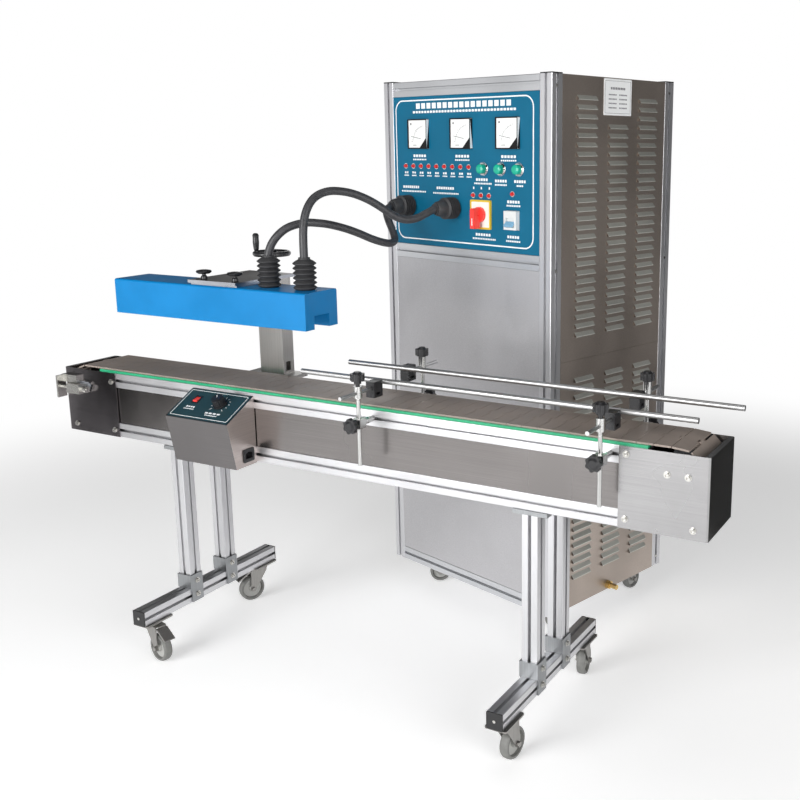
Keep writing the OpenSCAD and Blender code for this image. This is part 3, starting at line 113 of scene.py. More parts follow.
class Finish:
    def __init__(self, name, colour, roughness, metallic=0.0, **sockets):
        self.mat = bpy.data.materials.new(name)
        self.mat.use_nodes = True
        self.tree = self.mat.node_tree
        self.shader = self.tree.nodes["Principled BSDF"]
        self.shader.inputs["Base Color"].default_value = (*colour, 1)
        self.shader.inputs["Roughness"].default_value = roughness
        self.shader.inputs["Metallic"].default_value = metallic
        for socket, value in sockets.items():
            self.shader.inputs[socket.replace("_", " ")].default_value = value
        self.colour = colour
        self.roughness = roughness
        self.coords = None

    def add(self, kind):
        return self.tree.nodes.new(kind)

    def link(self, a, b):
        self.tree.links.new(a, b)

    def noise(self, scale, turn=0.0, detail=4.0, rough=0.55):
        if self.coords is None:
            self.coords = self.add("ShaderNodeTexCoord")
        mapping = self.add("ShaderNodeMapping")
        mapping.inputs["Scale"].default_value = scale
        mapping.inputs["Rotation"].default_value = (0, 0, turn)
        texture = self.add("ShaderNodeTexNoise")
        texture.inputs["Scale"].default_value = 1.0
        texture.inputs["Detail"].default_value = detail
        texture.inputs["Roughness"].default_value = rough
        self.link(self.coords.outputs["Object"], mapping.inputs["Vector"])
        self.link(mapping.outputs["Vector"], texture.inputs["Vector"])
        return texture.outputs["Fac"]

    def tint(self, factor, spread, low=0.35, high=0.65):  # colour a little darker and lighter
        ramp = self.add("ShaderNodeValToRGB")
        ramp.color_ramp.elements[0].position = low
        ramp.color_ramp.elements[1].position = high
        ramp.color_ramp.elements[0].color = (*[c * (1 - spread) for c in self.colour], 1)
        ramp.color_ramp.elements[1].color = (*[min(1, c * (1 + spread)) for c in self.colour], 1)
        self.link(factor, ramp.inputs["Fac"])
        self.link(ramp.outputs["Color"], self.shader.inputs["Base Color"])
        return ramp

    def soil(self, ramp, factor, colour, low, high):  # marks laid over the tinted colour
        reach = self.add("ShaderNodeMapRange")
        reach.interpolation_type = "SMOOTHSTEP"
        reach.inputs["From Min"].default_value = low
        reach.inputs["From Max"].default_value = high
        mix = self.add("ShaderNodeMix")
        mix.data_type = "RGBA"
        mix.inputs["B"].default_value = (*colour, 1)
        self.link(factor, reach.inputs["Value"])
        self.link(reach.outputs["Result"], mix.inputs["Factor"])
        self.link(ramp.outputs["Color"], mix.inputs["A"])
        self.link(mix.outputs["Result"], self.shader.inputs["Base Color"])

    def vary(self, factor, spread):  # roughness a little up and down
        reach = self.add("ShaderNodeMapRange")
        reach.interpolation_type = "SMOOTHSTEP"
        reach.inputs["From Min"].default_value = 0.3
        reach.inputs["From Max"].default_value = 0.7
        reach.inputs["To Min"].default_value = self.roughness - spread
        reach.inputs["To Max"].default_value = self.roughness + spread
        self.link(factor, reach.inputs["Value"])
        self.link(reach.outputs["Result"], self.shader.inputs["Roughness"])

    def bump(self, factor, strength, distance, edge=0.0):
        bump = self.add("ShaderNodeBump")
        if edge:  # rounded look on sharp edges
            bevel = self.add("ShaderNodeBevel")
            bevel.inputs["Radius"].default_value = edge
            self.link(bevel.outputs["Normal"], bump.inputs["Normal"])
        bump.inputs["Strength"].default_value = strength
        bump.inputs["Distance"].default_value = distance
        self.link(factor, bump.inputs["Height"])
        self.link(bump.outputs["Normal"], self.shader.inputs["Normal"])


def brushedMetal(name, colour, roughness, along, turn=0.0, spread=0.06, patch=0.0, **sockets):
    finish = Finish(name, colour, roughness, 1.0, **sockets)
    fine = {"x": (3, 700, 700), "y": (700, 3, 700), "z": (700, 700, 3)}[along]
    grain = finish.noise(fine, turn, 6.0, 0.6)
    broad = finish.noise((3.1, 3.1, 2.3), turn, 3.0)
    ramp = finish.tint(grain, spread)
    if patch:
        finish.soil(ramp, broad, [c * (1 - patch) for c in colour], 0.45, 0.72)
    finish.vary(broad, 0.07)
    finish.bump(grain, 0.12, 0.0002)
    return finish.mat


def mouldedPlastic(name, colour, roughness, grain=900, spread=0.05, depth=0.00006, **sockets):
    finish = Finish(name, colour, roughness, 0.0, **sockets)
    fine = finish.noise((grain,) * 3, 0.0, 3.0)
    broad = finish.noise((14, 14, 14), 0.0, 3.0)
    finish.tint(broad, spread)
    finish.vary(broad, 0.05)
    finish.bump(fine, 0.25, depth)
    return finish.mat


def sprayedPaint(name, colour, roughness, spread=0.04, edge=0.0, **sockets):
    finish = Finish(name, colour, roughness, 0.0, **sockets)
    peel = finish.noise((420, 420, 420), 0.0, 2.0)
    broad = finish.noise((9, 9, 9), 0.0, 4.0)
    finish.tint(broad, spread)
    finish.vary(broad, 0.06)
    finish.bump(peel, 0.12, 0.00012, edge)
    return finish.mat


def softRubber(name, colour, roughness, spread=0.18):
    finish = Finish(name, colour, roughness, 0.0)
    dust = finish.noise((60, 60, 60), 0.0, 5.0)
    grain = finish.noise((1500, 1500, 1500), 0.0, 2.0)
    finish.tint(dust, spread)
    finish.vary(dust, 0.08)
    finish.bump(grain, 0.3, 0.00008)
    return finish.mat


finishes = {
    "profileX": brushedMetal("profileAlongX", (0.66, 0.66, 0.675), 0.36, "x", spread=0.03),
    "profileY": brushedMetal("profileAlongY", (0.66, 0.66, 0.675), 0.36, "y", spread=0.03),
    "profileZ": brushedMetal("profileAlongZ", (0.66, 0.66, 0.675), 0.36, "z", spread=0.03),
    # Posts a little lighter than the rails, though both are the same profile: painted light.
    "cabinetProfileZ": brushedMetal(
        "cabinetProfileAlongZ", (0.70, 0.70, 0.72), 0.36, "z", cabinetTurn, spread=0.03),
    "cabinetProfileX": brushedMetal(
        "cabinetProfileAlongX", (0.66, 0.67, 0.69), 0.36, "x", cabinetTurn, spread=0.03),
    "bracketSteel": brushedMetal("bracketSteel", (0.34, 0.35, 0.36), 0.42, "z", spread=0.10),
    "boltZinc": brushedMetal("boltZinc", (0.62, 0.61, 0.58), 0.30, "z", spread=0.08),
    "capBlack": mouldedPlastic("capBlack", (0.018, 0.018, 0.019), 0.5),
    "infillSteel": brushedMetal("infillSteel", (0.26, 0.245, 0.24), 0.22, "x", spread=0.08, patch=0.15),
    # The end cover is one stainless sheet in three copies: the bright one, and two darker ones for the left
    # cover and the right end face, which are painted dark reflection.
    "coverBright": brushedMetal("coverBright", (0.44, 0.435, 0.44), 0.25, "x", spread=0.08, patch=0.2),
    "coverDarkPaintedReflection": brushedMetal("coverDarkPaintedReflection", (0.22, 0.205, 0.215), 0.22, "x", spread=0.12, patch=0.3),
    "coverEndPaintedReflection": brushedMetal("coverEndPaintedReflection", (0.045, 0.043, 0.04), 0.25, "y", spread=0.15),
    "slatTaupe": mouldedPlastic("slatTaupe", (0.33, 0.275, 0.24), 0.45, 500, 0.10),
    "stripGreen": mouldedPlastic("stripGreen", (0.02, 0.36, 0.17), 0.35, 700, 0.08),
    "bearingIron": sprayedPaint("bearingIron", (0.22, 0.23, 0.25), 0.5),
    "motorPaint": sprayedPaint("motorPaint", (0.10, 0.11, 0.13), 0.45),
    "takeUpSteel": brushedMetal("takeUpSteel", (0.66, 0.65, 0.62), 0.28, "x", spread=0.08),
    # One steel for the control box in two copies: the front painted darker (painted shade), the right side
    # painted lighter (painted highlight).
    "boxFrontPaintedShade": brushedMetal("boxFrontPaintedShade", (0.20, 0.19, 0.19), 0.27, "x", spread=0.08, patch=0.12),
    "boxSidePaintedHighlight": brushedMetal("boxSidePaintedHighlight", (0.62, 0.55, 0.52), 0.30, "y", spread=0.08),
    "plateTeal": sprayedPaint("plateTeal", (0.018, 0.05, 0.06), 0.42),
    "knobBlack": mouldedPlastic("knobBlack", (0.018, 0.018, 0.02), 0.3, 1200),
    "rockerRed": mouldedPlastic("rockerRed", (0.92, 0.055, 0.045), 0.3, 1400),
    "columnSteel": brushedMetal("columnSteel", (0.48, 0.47, 0.45), 0.30, "z", spread=0.10, patch=0.2),
    # One steel for the head plate in two copies: the top painted dark (painted shade), the edges lighter.
    "plateTopPaintedShade": brushedMetal("plateTopPaintedShade", (0.11, 0.10, 0.10), 0.36, "y", spread=0.10, patch=0.2),
    "plateEdge": brushedMetal("plateEdge", (0.50, 0.52, 0.56), 0.32, "x", spread=0.06),
    "headBlue": sprayedPaint("headBlue", (0.0, 0.20, 0.50), 0.42, 0.06, 0.002, Specular_IOR_Level=0.3),
    "coilCopper": brushedMetal("coilCopper", (0.72, 0.38, 0.2), 0.3, "x"),
    "bootRubber": softRubber("bootRubber", (0.035, 0.035, 0.037), 0.62),
    "hoseRubber": softRubber("hoseRubber", (0.042, 0.042, 0.046), 0.45),
    "guideSteel": brushedMetal("guideSteel", (0.50, 0.50, 0.50), 0.42, "x", spread=0.06),
    "postSteel": brushedMetal("postSteel", (0.60, 0.60, 0.59), 0.22, "z", spread=0.05),
    "panelSteel": brushedMetal(
        "panelSteel", (0.58, 0.575, 0.59), 0.42, "x", cabinetTurn, spread=0.07, patch=0.08),
    "louvreSteel": brushedMetal(
        "louvreSteel", (0.52, 0.45, 0.40), 0.38, "y", cabinetTurn, spread=0.08, patch=0.15),
    # Pressed louvre faces and closed ends are the same sheet as louvreSteel: the faces painted lighter
    # (painted highlight), the ends darker (painted shade).
    "louvreFacePaintedHighlight": brushedMetal(
        "louvreFacePaintedHighlight", (0.74, 0.74, 0.69), 0.55, "y", cabinetTurn, spread=0.05, patch=0.08),
    "louvreEndPaintedShade": brushedMetal("louvreEndPaintedShade", (0.16, 0.14, 0.125), 0.42, "y", cabinetTurn, spread=0.08),
    "fasciaBlue": sprayedPaint("fasciaBlue", (0.001, 0.125, 0.23), 0.45, Specular_IOR_Level=0.25),
    "meterBlack": mouldedPlastic("meterBlack", (0.012, 0.012, 0.013), 0.45, 1500, Specular_IOR_Level=0.12),
    "dialWhite": mouldedPlastic("dialWhite", (0.92, 0.92, 0.91), 0.4, 1500, 0.02),
    "lampRed": mouldedPlastic("lampRed", (0.62, 0.02, 0.018), 0.18, 1500),
    "bezelChrome": brushedMetal("bezelChrome", (0.72, 0.72, 0.71), 0.15, "z", spread=0.04),
    "switchWhite": mouldedPlastic("switchWhite", (0.90, 0.88, 0.82), 0.4, 1300, 0.03),
    "switchYellow": mouldedPlastic("switchYellow", (0.72, 0.50, 0.03), 0.35, 1300, 0.03),
    "breakerWhite": mouldedPlastic("breakerWhite", (0.74, 0.75, 0.74), 0.4, 1300, 0.03),
    "toggleBlue": mouldedPlastic("toggleBlue", (0.22, 0.46, 0.66), 0.35, 1300),
    "lensGreen": mouldedPlastic("lensGreen", (0.012, 0.42, 0.28), 0.18, 1500),
    "brass": brushedMetal("brass", (0.72, 0.52, 0.22), 0.28, "z"),
    "casterZinc": brushedMetal("casterZinc", (0.34, 0.33, 0.315), 0.36, "z", spread=0.14, patch=0.2),
    "wheelGrey": softRubber("wheelGrey", (0.20, 0.20, 0.19), 0.55, 0.12),
    "hubPale": mouldedPlastic("hubPale", (0.46, 0.46, 0.44), 0.45, 900, 0.08),
    "legendWhite": mouldedPlastic("legendWhite", (0.90, 0.91, 0.91), 0.45, 1500, 0.02),
    "markGrey": mouldedPlastic("markGrey", (0.18, 0.17, 0.19), 0.45, 1500, 0.02),
    "markBlack": mouldedPlastic("markBlack", (0.015, 0.015, 0.015), 0.45, 1500, 0.02),
}
print("finishes mixed:", len(finishes))


def dress(node, *names, pick=None):  # finishes on a CAD node; pick gives each face's finish
    mesh = nodes[node].data
    mesh.materials.clear()
    for name in names:
        mesh.materials.append(finishes[name])
    for face in mesh.polygons:
        face.material_index = pick(face.center, face.normal) if pick else 0


def beltSpot(p):  # a mesh point as mm from the conveyor's middle
    return p * 1000 - originShift


def cabinetSpot(p):  # a mesh point as mm in the cabinet's axes
    return cabinetSpin.transposed() @ (p * 1000 - originShift - cabinetCorner)


# hoses, first of the pieces
hoseValues = {
    "diameter": 0.0204,
    "sides": 20,
    "left": {
        "boot": (-253, 0, 1048),
        "tip": (-253, 0, 1068),
        "middle": [
            (-245, 5, 1095), (-231, 15, 1118), (-214, 29, 1135), (-196, 46, 1144), (-178, 66, 1148),
            (-163, 88, 1146), (-149, 111, 1142), (-136, 136, 1135), (-122, 161, 1126), (-107, 188, 1114),
            (-92, 216, 1100), (-79, 246, 1089), (-72, 276, 1084), (-78, 304, 1091), (-97, 324, 1111),
            (-122, 341, 1138), (-143, 362, 1162),
        ],
        "panelX": 103,
    },
    "right": {
        "boot": (-139, 0, 1048),
        "tip": (-139, 0, 1068),
        "middle": [
            (-140, 1, 1100), (-142, 5, 1132), (-143, 12, 1161), (-141, 23, 1187), (-137, 40, 1208),
            (-130, 62, 1221), (-119, 86, 1227), (-106, 111, 1226), (-92, 135, 1221), (-78, 158, 1212),
            (-64, 180, 1200), (-50, 201, 1185), (-37, 221, 1169), (-24, 242, 1155), (-10, 264, 1149),
            (4, 289, 1152), (17, 314, 1163),
        ],
        "panelX": 286,
    },
    "panelY": -70,
    "panelIn": -50,
    "panelZ": 1174,
}


def hosePath(side):
    values = hoseValues[side]
    knots = [fromBelt(*values["boot"]), fromBelt(*values["tip"])]
    knots += [fromBelt(*p) for p in values["middle"]]
    knots += [fromCabinet(values["panelX"], hoseValues[y], hoseValues["panelZ"])
              for y in ("panelY", "panelIn")]
    path = []
    for k in range(len(knots) - 1):  # smooth curve through the knots
        p0, p1, p2, p3 = (knots[min(max(i, 0), len(knots) - 1)] for i in range(k - 1, k + 3))
        for step in range(4):
            t = step / 4
            path.append(0.5 * (2 * p1 + (p2 - p0) * t + (2 * p0 - 5 * p1 + 4 * p2 - p3) * t * t
                               + (3 * p1 - p0 - 3 * p2 + p3) * t ** 3))
    return path + [knots[-1]]


def tubeAlong(name, path, radius, sides, finish):
    bm = bmesh.new()
    across = Vector((1, 0, 0))
    rings = []
    for i, p in enumerate(path):
        heading = (path[min(i + 1, len(path) - 1)] - path[max(i - 1, 0)]).normalized()
        across = (across - heading * across.dot(heading)).normalized()
        other = heading.cross(across)
        rings.append([bm.verts.new(p + radius * (math.cos(a) * across + math.sin(a) * other))
                      for a in (math.tau * k / sides for k in range(sides))])
    for low, high in zip(rings, rings[1:]):
        for k in range(sides):
            n = (k + 1) % sides
            bm.faces.new((low[k], low[n], high[n], high[k]))
    bm.faces.new(list(reversed(rings[0])))
    bm.faces.new(rings[-1])
    return meshObject(name, bm, finish, 60)


for side in ("left", "right"):
    path = hosePath(side)
    hose = tubeAlong(side + "Hose", path, hoseValues["diameter"] / 2, hoseValues["sides"],
                     finishes["hoseRubber"])
    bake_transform(hose)
    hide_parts("hose_" + side)
    length = sum((b - a).length for a, b in zip(path, path[1:]))
print("hoses laid")

# finishes on the solids
beamValues = {"legFoot": 0.1485, "legTop": 0.5395, "railHalf": 85}


def beamFinish(c, n):  # legs upright, ties and feet across, rails along
    if beamValues["legFoot"] < c[2] < beamValues["legTop"]:
        return 2
    return 1 if abs(beltSpot(c)[1]) > beamValues["railHalf"] or c[2] < beamValues["legFoot"] else 0


dress("conveyor_frame", "profileX", "profileY", "profileZ", pick=beamFinish)
dress("leg_brackets", "bracketSteel")
dress("frame_bolts", "boltZinc")
dress("end_caps", "capBlack")
dress("side_panels", "infillSteel")
# front plates and bends take the bright copy (painted highlight on the bends); the left cover and the right
# end face take the darker copies (painted dark reflection)
dress("end_covers", "coverBright", "coverDarkPaintedReflection", "coverEndPaintedReflection",
      pick=lambda c, n: 2 if n[0] > 0.9 and beltSpot(c)[0] > 900 else (1 if beltSpot(c)[0] < 0 else 0))
dress("slat_chain", "slatTaupe")
dress("wear_strips", "stripGreen")
dress("shaft_bearings", "bearingIron")
dress("drive_motor", "motorPaint")
dress("take_up", "takeUpSteel")
# the side facing +x takes the lighter copy (painted highlight), the other faces the darker one (painted
# shade)
dress("control_box", "boxFrontPaintedShade", "boxSidePaintedHighlight", pick=lambda c, n: 1 if n[0] > 0.9 else 0)
dress("control_plate", "plateTeal")
dress("box_fittings", "knobBlack")
dress("rocker", "rockerRed")
dress("speed_knob", "knobBlack")
dress("lift_column", "columnSteel")
# upward faces take the dark copy (painted shade), the edges the lighter one
dress("head_plate", "plateTopPaintedShade", "plateEdge", pick=lambda c, n: 0 if n[2] > 0.5 else 1)
dress("plate_knobs", "knobBlack")
dress("head_housing", "headBlue")
dress("induction_coil", "coilCopper")
dress("head_boots", "bootRubber")
dress("handwheel", "knobBlack", "postSteel", pick=lambda c, n: 1 if c[2] < 1.01 else 0)
dress("guide_clamps", "postSteel", "knobBlack", pick=lambda c, n: 1 if abs(beltSpot(c)[1]) > 148.5 else 0)
dress("front_posts", "postSteel", "knobBlack", pick=lambda c, n: 1 if c[2] > 0.7985 else 0)
dress("rear_posts", "postSteel", "knobBlack", pick=lambda c, n: 1 if c[2] > 0.8085 else 0)


def guideFinish(c, n):  # black holders, steel rail and arms
    spot = beltSpot(c)
    onRail = (abs(spot[1]) - 52) ** 2 + (spot[2] - (794 if spot[1] < 0 else 804)) ** 2 < 6.52 ** 2
    return 0 if onRail or abs(spot[1]) > 88.3 else 1


dress("front_guide", "guideSteel", "knobBlack", pick=guideFinish)
dress("rear_guide", "guideSteel", "knobBlack", pick=guideFinish)
dress("drive_sprocket", "bearingIron")
dress("idler_sprocket", "bearingIron")


def cabinetBeam(c, n):  # posts upright, rails level
    spot = cabinetSpot(c)
    return 0 if (spot[0] < 40.1 or spot[0] > 599.9) and (spot[1] < 40.1 or spot[1] > 469.9) else 1


dress("cabinet_frame", "cabinetProfileZ", "cabinetProfileX", pick=cabinetBeam)
dress("cabinet_panels", "panelSteel")


def louvreFinish(c, n):  # plain sheet; pressed faces lighter (painted highlight), closed ends darker (painted shade)
    if abs(cabinetSpot(c)[0] - 320) < 320.2:
        return 0
    return 2 if abs((cabinetSpin.transposed() @ n)[1]) > 0.7 else 1


dress("louvre_panels", "louvreSteel", "louvreFacePaintedHighlight", "louvreEndPaintedShade", pick=louvreFinish)
dress("fascia", "fasciaBlue")
dress("panel_meters", "meterBlack", "dialWhite",
      pick=lambda c, n: 1 if -6.75 < cabinetSpot(c)[1] < -5.95 and abs(n[2]) < 0.3 else 0)


def fittingFinish(c, n):  # lamps, bezels, switch plate, breaker
    x, y, z = cabinetSpot(c)
    if abs(x - 508) < 24 and abs(z - 1151) < 26:
        return 3
    if abs(x - 393) < 39 and abs(z - 1161) < 39:
        return 2
    if z > 1262 and x > 380:
        return 1
    return 0 if y < -2.05 else 1


dress("panel_fittings", "lampRed", "bezelChrome", "switchWhite", "breakerWhite", pick=fittingFinish)
dress("panel_boots", "bootRubber")
dress("rotary_handle", "rockerRed")
dress("breaker_toggle", "toggleBlue")
for k in (1, 2, 3):
    dress("push_button_%d" % k, "lensGreen")
dress("water_fitting", "brass")
dress("caster_plates", "casterZinc")
for k in range(1, 7):
    dress("caster_fork_%d" % k, "casterZinc")
for k in range(1, 9):
    low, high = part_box("caster_wheel_%d" % k)
    middle = (low + high) / 2
    tread = (high[2] - low[2]) / 2 - 0.0102
    dress("caster_wheel_%d" % k, "wheelGrey", "hubPale",
          pick=lambda c, n, middle=middle, tread=tread: 0 if (c - middle).length > tread else 1)
print("solids dressed")

# thin raised marks


def roundLoop(w, h, r=0.0, steps=5):  # corners of a rounded rectangle, counter-clockwise
    if r <= 0:
        return [(w / 2, -h / 2), (w / 2, h / 2), (-w / 2, h / 2), (-w / 2, -h / 2)]
    loop = []
    for k, (cx, cy) in enumerate(((1, -1), (1, 1), (-1, 1), (-1, -1))):
        for step in range(steps + 1):
            a = math.radians(-90 + 90 * k + 90 * step / steps)
            loop.append((cx * (w / 2 - r) + r * math.cos(a), cy * (h / 2 - r) + r * math.sin(a)))
    return loop


def slab(bm, loop, place, low, high, at=(0, 0)):  # a flat plate with the outline given
    under = [bm.verts.new(place(at[0] + u, at[1] + v, low)) for u, v in loop]
    over = [bm.verts.new(place(at[0] + u, at[1] + v, high)) for u, v in loop]
    bm.faces.new(over)
    bm.faces.new(list(reversed(under)))
    for k in range(len(loop)):
        n = (k + 1) % len(loop)
        bm.faces.new((under[k], under[n], over[n], over[k]))


def band(bm, outer, inner, place, low, high, at=(0, 0)):  # a closed frame between two outlines
    loops = [[bm.verts.new(place(at[0] + u, at[1] + v, d)) for u, v in loop]
             for loop, d in ((outer, low), (outer, high), (inner, high), (inner, low))]
    for a, b in zip(loops, loops[1:] + loops[:1]):
        for k in range(len(outer)):
            n = (k + 1) % len(outer)
            bm.faces.new((a[k], a[n], b[n], b[k]))


def strip(bm, points, width, place, low, high):  # a flat line of some width
    left, right = [], []
    for k, p in enumerate(points):
        a, b = points[max(k - 1, 0)], points[min(k + 1, len(points) - 1)]
        run = Vector((b[0] - a[0], b[1] - a[1])).normalized() * width / 2
        left.append((p[0] - run[1], p[1] + run[0]))
        right.append((p[0] + run[1], p[1] - run[0]))
    loops = [[bm.verts.new(place(u, v, d)) for u, v in line]
             for line, d in ((right, low), (right, high), (left, high), (left, low))]
    for a, b in zip(loops, loops[1:] + loops[:1]):
        for k in range(len(points) - 1):
            bm.faces.new((a[k], a[k + 1], b[k + 1], b[k]))
    bm.faces.new([loop[0] for loop in loops])
    bm.faces.new([loop[-1] for loop in reversed(loops)])


def wordBars(bm, place, at, length, height, count, depth=0.35):  # short bars in place of a legend
    step = length / count
    for k in range(count):
        slab(bm, roundLoop(step * 0.72, height, min(0.9, height * 0.3), 2), place, 0.0, depth,
             (at[0] - length / 2 + step * (k + 0.5), at[1]))


def onFascia(u, v, d):
    return fromCabinet(u, -d, v)


def finished(name, bm, finish, body):
    bmesh.ops.recalc_face_normals(bm, faces=bm.faces)
    piece = meshObject(name, bm, finishes[finish], 35)
    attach(piece, body)
    return piece


# fascia border and legends
legendValues = {
    "border": {"middle": (315.5, 1271.5), "size": (531, 383), "radius": 30, "line": 3.4},
    "title": [((320, 1446), 370, 15, 17), ((322, 1430), 398, 6, 34)],
    "meter": [(1312, 55, 7, 5), (1302, 57, 4, 8)],
    "lamp": [(1266, 17, 5.5, 2), (1258, 20, 3.5, 4)],
    "hose": [((110, 1226), 70, 7, 8), ((121, 1214), 104, 4.5, 15),
             ((252, 1226), 72, 7, 8), ((254, 1212), 104, 4.5, 15)],
    "button": [((395, 1252), 46, 7, 5), ((399, 1242), 66, 4.5, 11), ((465, 1250), 44, 7, 5),
               ((465, 1240), 44, 4.5, 8), ((533, 1250), 42, 7, 5), ((533, 1239), 24, 4.5, 4)],
    "phase": [((364, 1230), 6, 6.5, 1), ((393, 1230), 6, 6.5, 1), ((423, 1230), 6, 6.5, 1)],
    "switch": [((398, 1108), 58, 7, 6), ((402, 1097), 88, 4.5, 14), ((510, 1198), 46, 7, 5),
               ((510, 1188), 50, 4.5, 8), ((509, 1108), 44, 7, 5), ((509, 1097), 52, 4.5, 8)],
    "meterX": (149, 321, 493),
    "lampX": [92 + 31.9 * k for k in range(9)],
}
bm = bmesh.new()
border = legendValues["border"]
outer = roundLoop(*border["size"], border["radius"], 10)
inner = roundLoop(border["size"][0] - 2 * border["line"], border["size"][1] - 2 * border["line"],
                  border["radius"] - border["line"], 10)
band(bm, outer, inner, onFascia, -0.1, 0.4, border["middle"])
finished("fasciaBorder", bm, "legendWhite", "base")
bm = bmesh.new()
for part in ("title", "hose", "button", "phase", "switch"):
    for at, length, height, count in legendValues[part]:
        wordBars(bm, onFascia, at, length, height, count)
for x in legendValues["meterX"]:
    for z, length, height, count in legendValues["meter"]:
        wordBars(bm, onFascia, (x, z), length, height, count)
for x in legendValues["lampX"]:
    for z, length, height, count in legendValues["lamp"]:
        wordBars(bm, onFascia, (x, z), length, height, count)
finished("fasciaLegends", bm, "legendWhite", "base")

# meter scales
scaleValues = {
    "pivot": (26, -26), "radius": 46, "start": 97, "stop": 173, "ticks": 11, "middleZ": 1371, "face": 6.6,
}
bm = bmesh.new()
for x in legendValues["meterX"]:
    cx, cy = x + scaleValues["pivot"][0], scaleValues["middleZ"] + scaleValues["pivot"][1]
    r = scaleValues["radius"]
    sweep = scaleValues["stop"] - scaleValues["start"]
    turns = [math.radians(scaleValues["start"] + sweep * k / 24) for k in range(25)]
    low, high = scaleValues["face"] - 0.05, scaleValues["face"] + 0.12
    strip(bm, [(cx + r * math.cos(a), cy + r * math.sin(a)) for a in turns], 0.5, onFascia, low, high)
    for k in range(scaleValues["ticks"]):
        a = math.radians(scaleValues["start"] + sweep * k / (scaleValues["ticks"] - 1))
        reach = r + (6 if k % 5 == 0 else 3.5)
        tick = [(cx + q * math.cos(a), cy + q * math.sin(a)) for q in (r + 0.3, reach)]
        strip(bm, tick, 0.55, onFascia, low, high)
    slab(bm, roundLoop(4, 5), onFascia, low, high, (x - 27, scaleValues["middleZ"] + 27))
    slab(bm, roundLoop(14, 1.2), onFascia, low, high, (x - 12, scaleValues["middleZ"] - 30))
finished("meterScales", bm, "markBlack", "base")

# rotary switch border and handle mark
switchValues = {"middle": (393, 1161), "side": 76.4, "line": 5.0, "face": 5.0, "markLength": 20}
bm = bmesh.new()
inside = switchValues["side"] - 2 * switchValues["line"]
band(bm, roundLoop(switchValues["side"], switchValues["side"], 3.4), roundLoop(inside, inside, 2),
     onFascia, 0.6, switchValues["face"] + 0.5, switchValues["middle"])
finished("switchBorder", bm, "switchYellow", "base")
bm = bmesh.new()
slab(bm, roundLoop(2.6, switchValues["markLength"], 1.2, 3), onFascia, 35.9, 36.3,
     (switchValues["middle"][0], switchValues["middle"][1] - 18))
finished("handleMark", bm, "legendWhite", "rotary_handle")

# rating plate on the right side, left blank
plateValues = {"middle": (258, 1463.5), "size": (116, 92), "out": (639.95, 640.8), "rows": 4}


def onSide(u, v, d):
    return fromCabinet(d, u, v)


bm = bmesh.new()
slab(bm, roundLoop(*plateValues["size"], 2), onSide, *plateValues["out"], plateValues["middle"])
finished("ratingPlate", bm, "legendWhite", "base")
bm = bmesh.new()
ratingFace = plateValues["out"][1]
sideInk = lambda u, v, d: onSide(u, v, ratingFace - 0.1 + d)
band(bm, roundLoop(106, 82), roundLoop(104.6, 80.6), sideInk, 0.0, 0.3, plateValues["middle"])
wordBars(bm, sideInk, (plateValues["middle"][0], plateValues["middle"][1] + 22), 62, 6, 9, 0.3)
for row in range(plateValues["rows"]):
    for u in (-22, 22):
        spot = (plateValues["middle"][0] + u, plateValues["middle"][1] + 6 - 11 * row)
        wordBars(bm, sideInk, spot, 34, 3.5, 6, 0.3)
finished("ratingLines", bm, "markGrey", "base")

# control plate border, scale and pointer
slopeValues = {
    "middle": (-352, -133.5, 696), "tilt": 27.95, "plate": (198, 104.9), "rocker": (-52, 14), "knob": (32, 8),
}
slopeTilt = math.radians(slopeValues["tilt"])


def onSlope(u, v, d):
    x, y, z = slopeValues["middle"]
    return fromBelt(x + u, y + v * math.cos(slopeTilt) - d * math.sin(slopeTilt),
                    z + v * math.sin(slopeTilt) + d * math.cos(slopeTilt))


bm = bmesh.new()
w, h = slopeValues["plate"]
band(bm, roundLoop(w - 9, h - 9, 4), roundLoop(w - 12, h - 12, 3), onSlope, 0.9, 1.3)
kx, ky = slopeValues["knob"]
for k in range(11):
    a = math.radians(225 - 27 * k)
    long = 29 if k % 5 == 0 else 26.5
    strip(bm, [(kx + q * math.cos(a), ky + q * math.sin(a)) for q in (22.5, long)], 1.3, onSlope, 0.9, 1.3)
rx, ry = slopeValues["rocker"]
slopeInk = lambda u, v, d: onSlope(u, v, 0.95 + d)
wordBars(bm, slopeInk, (rx, ry - 27), 30, 5, 4)
wordBars(bm, slopeInk, (rx, ry - 35), 34, 3.2, 8)
wordBars(bm, slopeInk, (kx, ky - 34), 52, 5, 4)
wordBars(bm, slopeInk, (kx, ky - 42), 40, 3.2, 8)
finished("controlLegends", bm, "legendWhite", "base")
bm = bmesh.new()
strip(bm, [(kx + q * math.cos(2.2), ky + q * math.sin(2.2)) for q in (3, 11)], 1.8, onSlope, 25.0, 25.4)
strip(bm, [(kx + q * math.cos(2.2), ky + q * math.sin(2.2)) for q in (16.2, 18.8)], 1.8, onSlope, 7.0, 7.4)
finished("knobPointer", bm, "legendWhite", "speed_knob")
print("marks raised")

# floor and light
floorValues = {"size": 40.0, "albedo": 0.90, "glow": 0.39, "fadeStart": 1.6, "fadeEnd": 3.2}


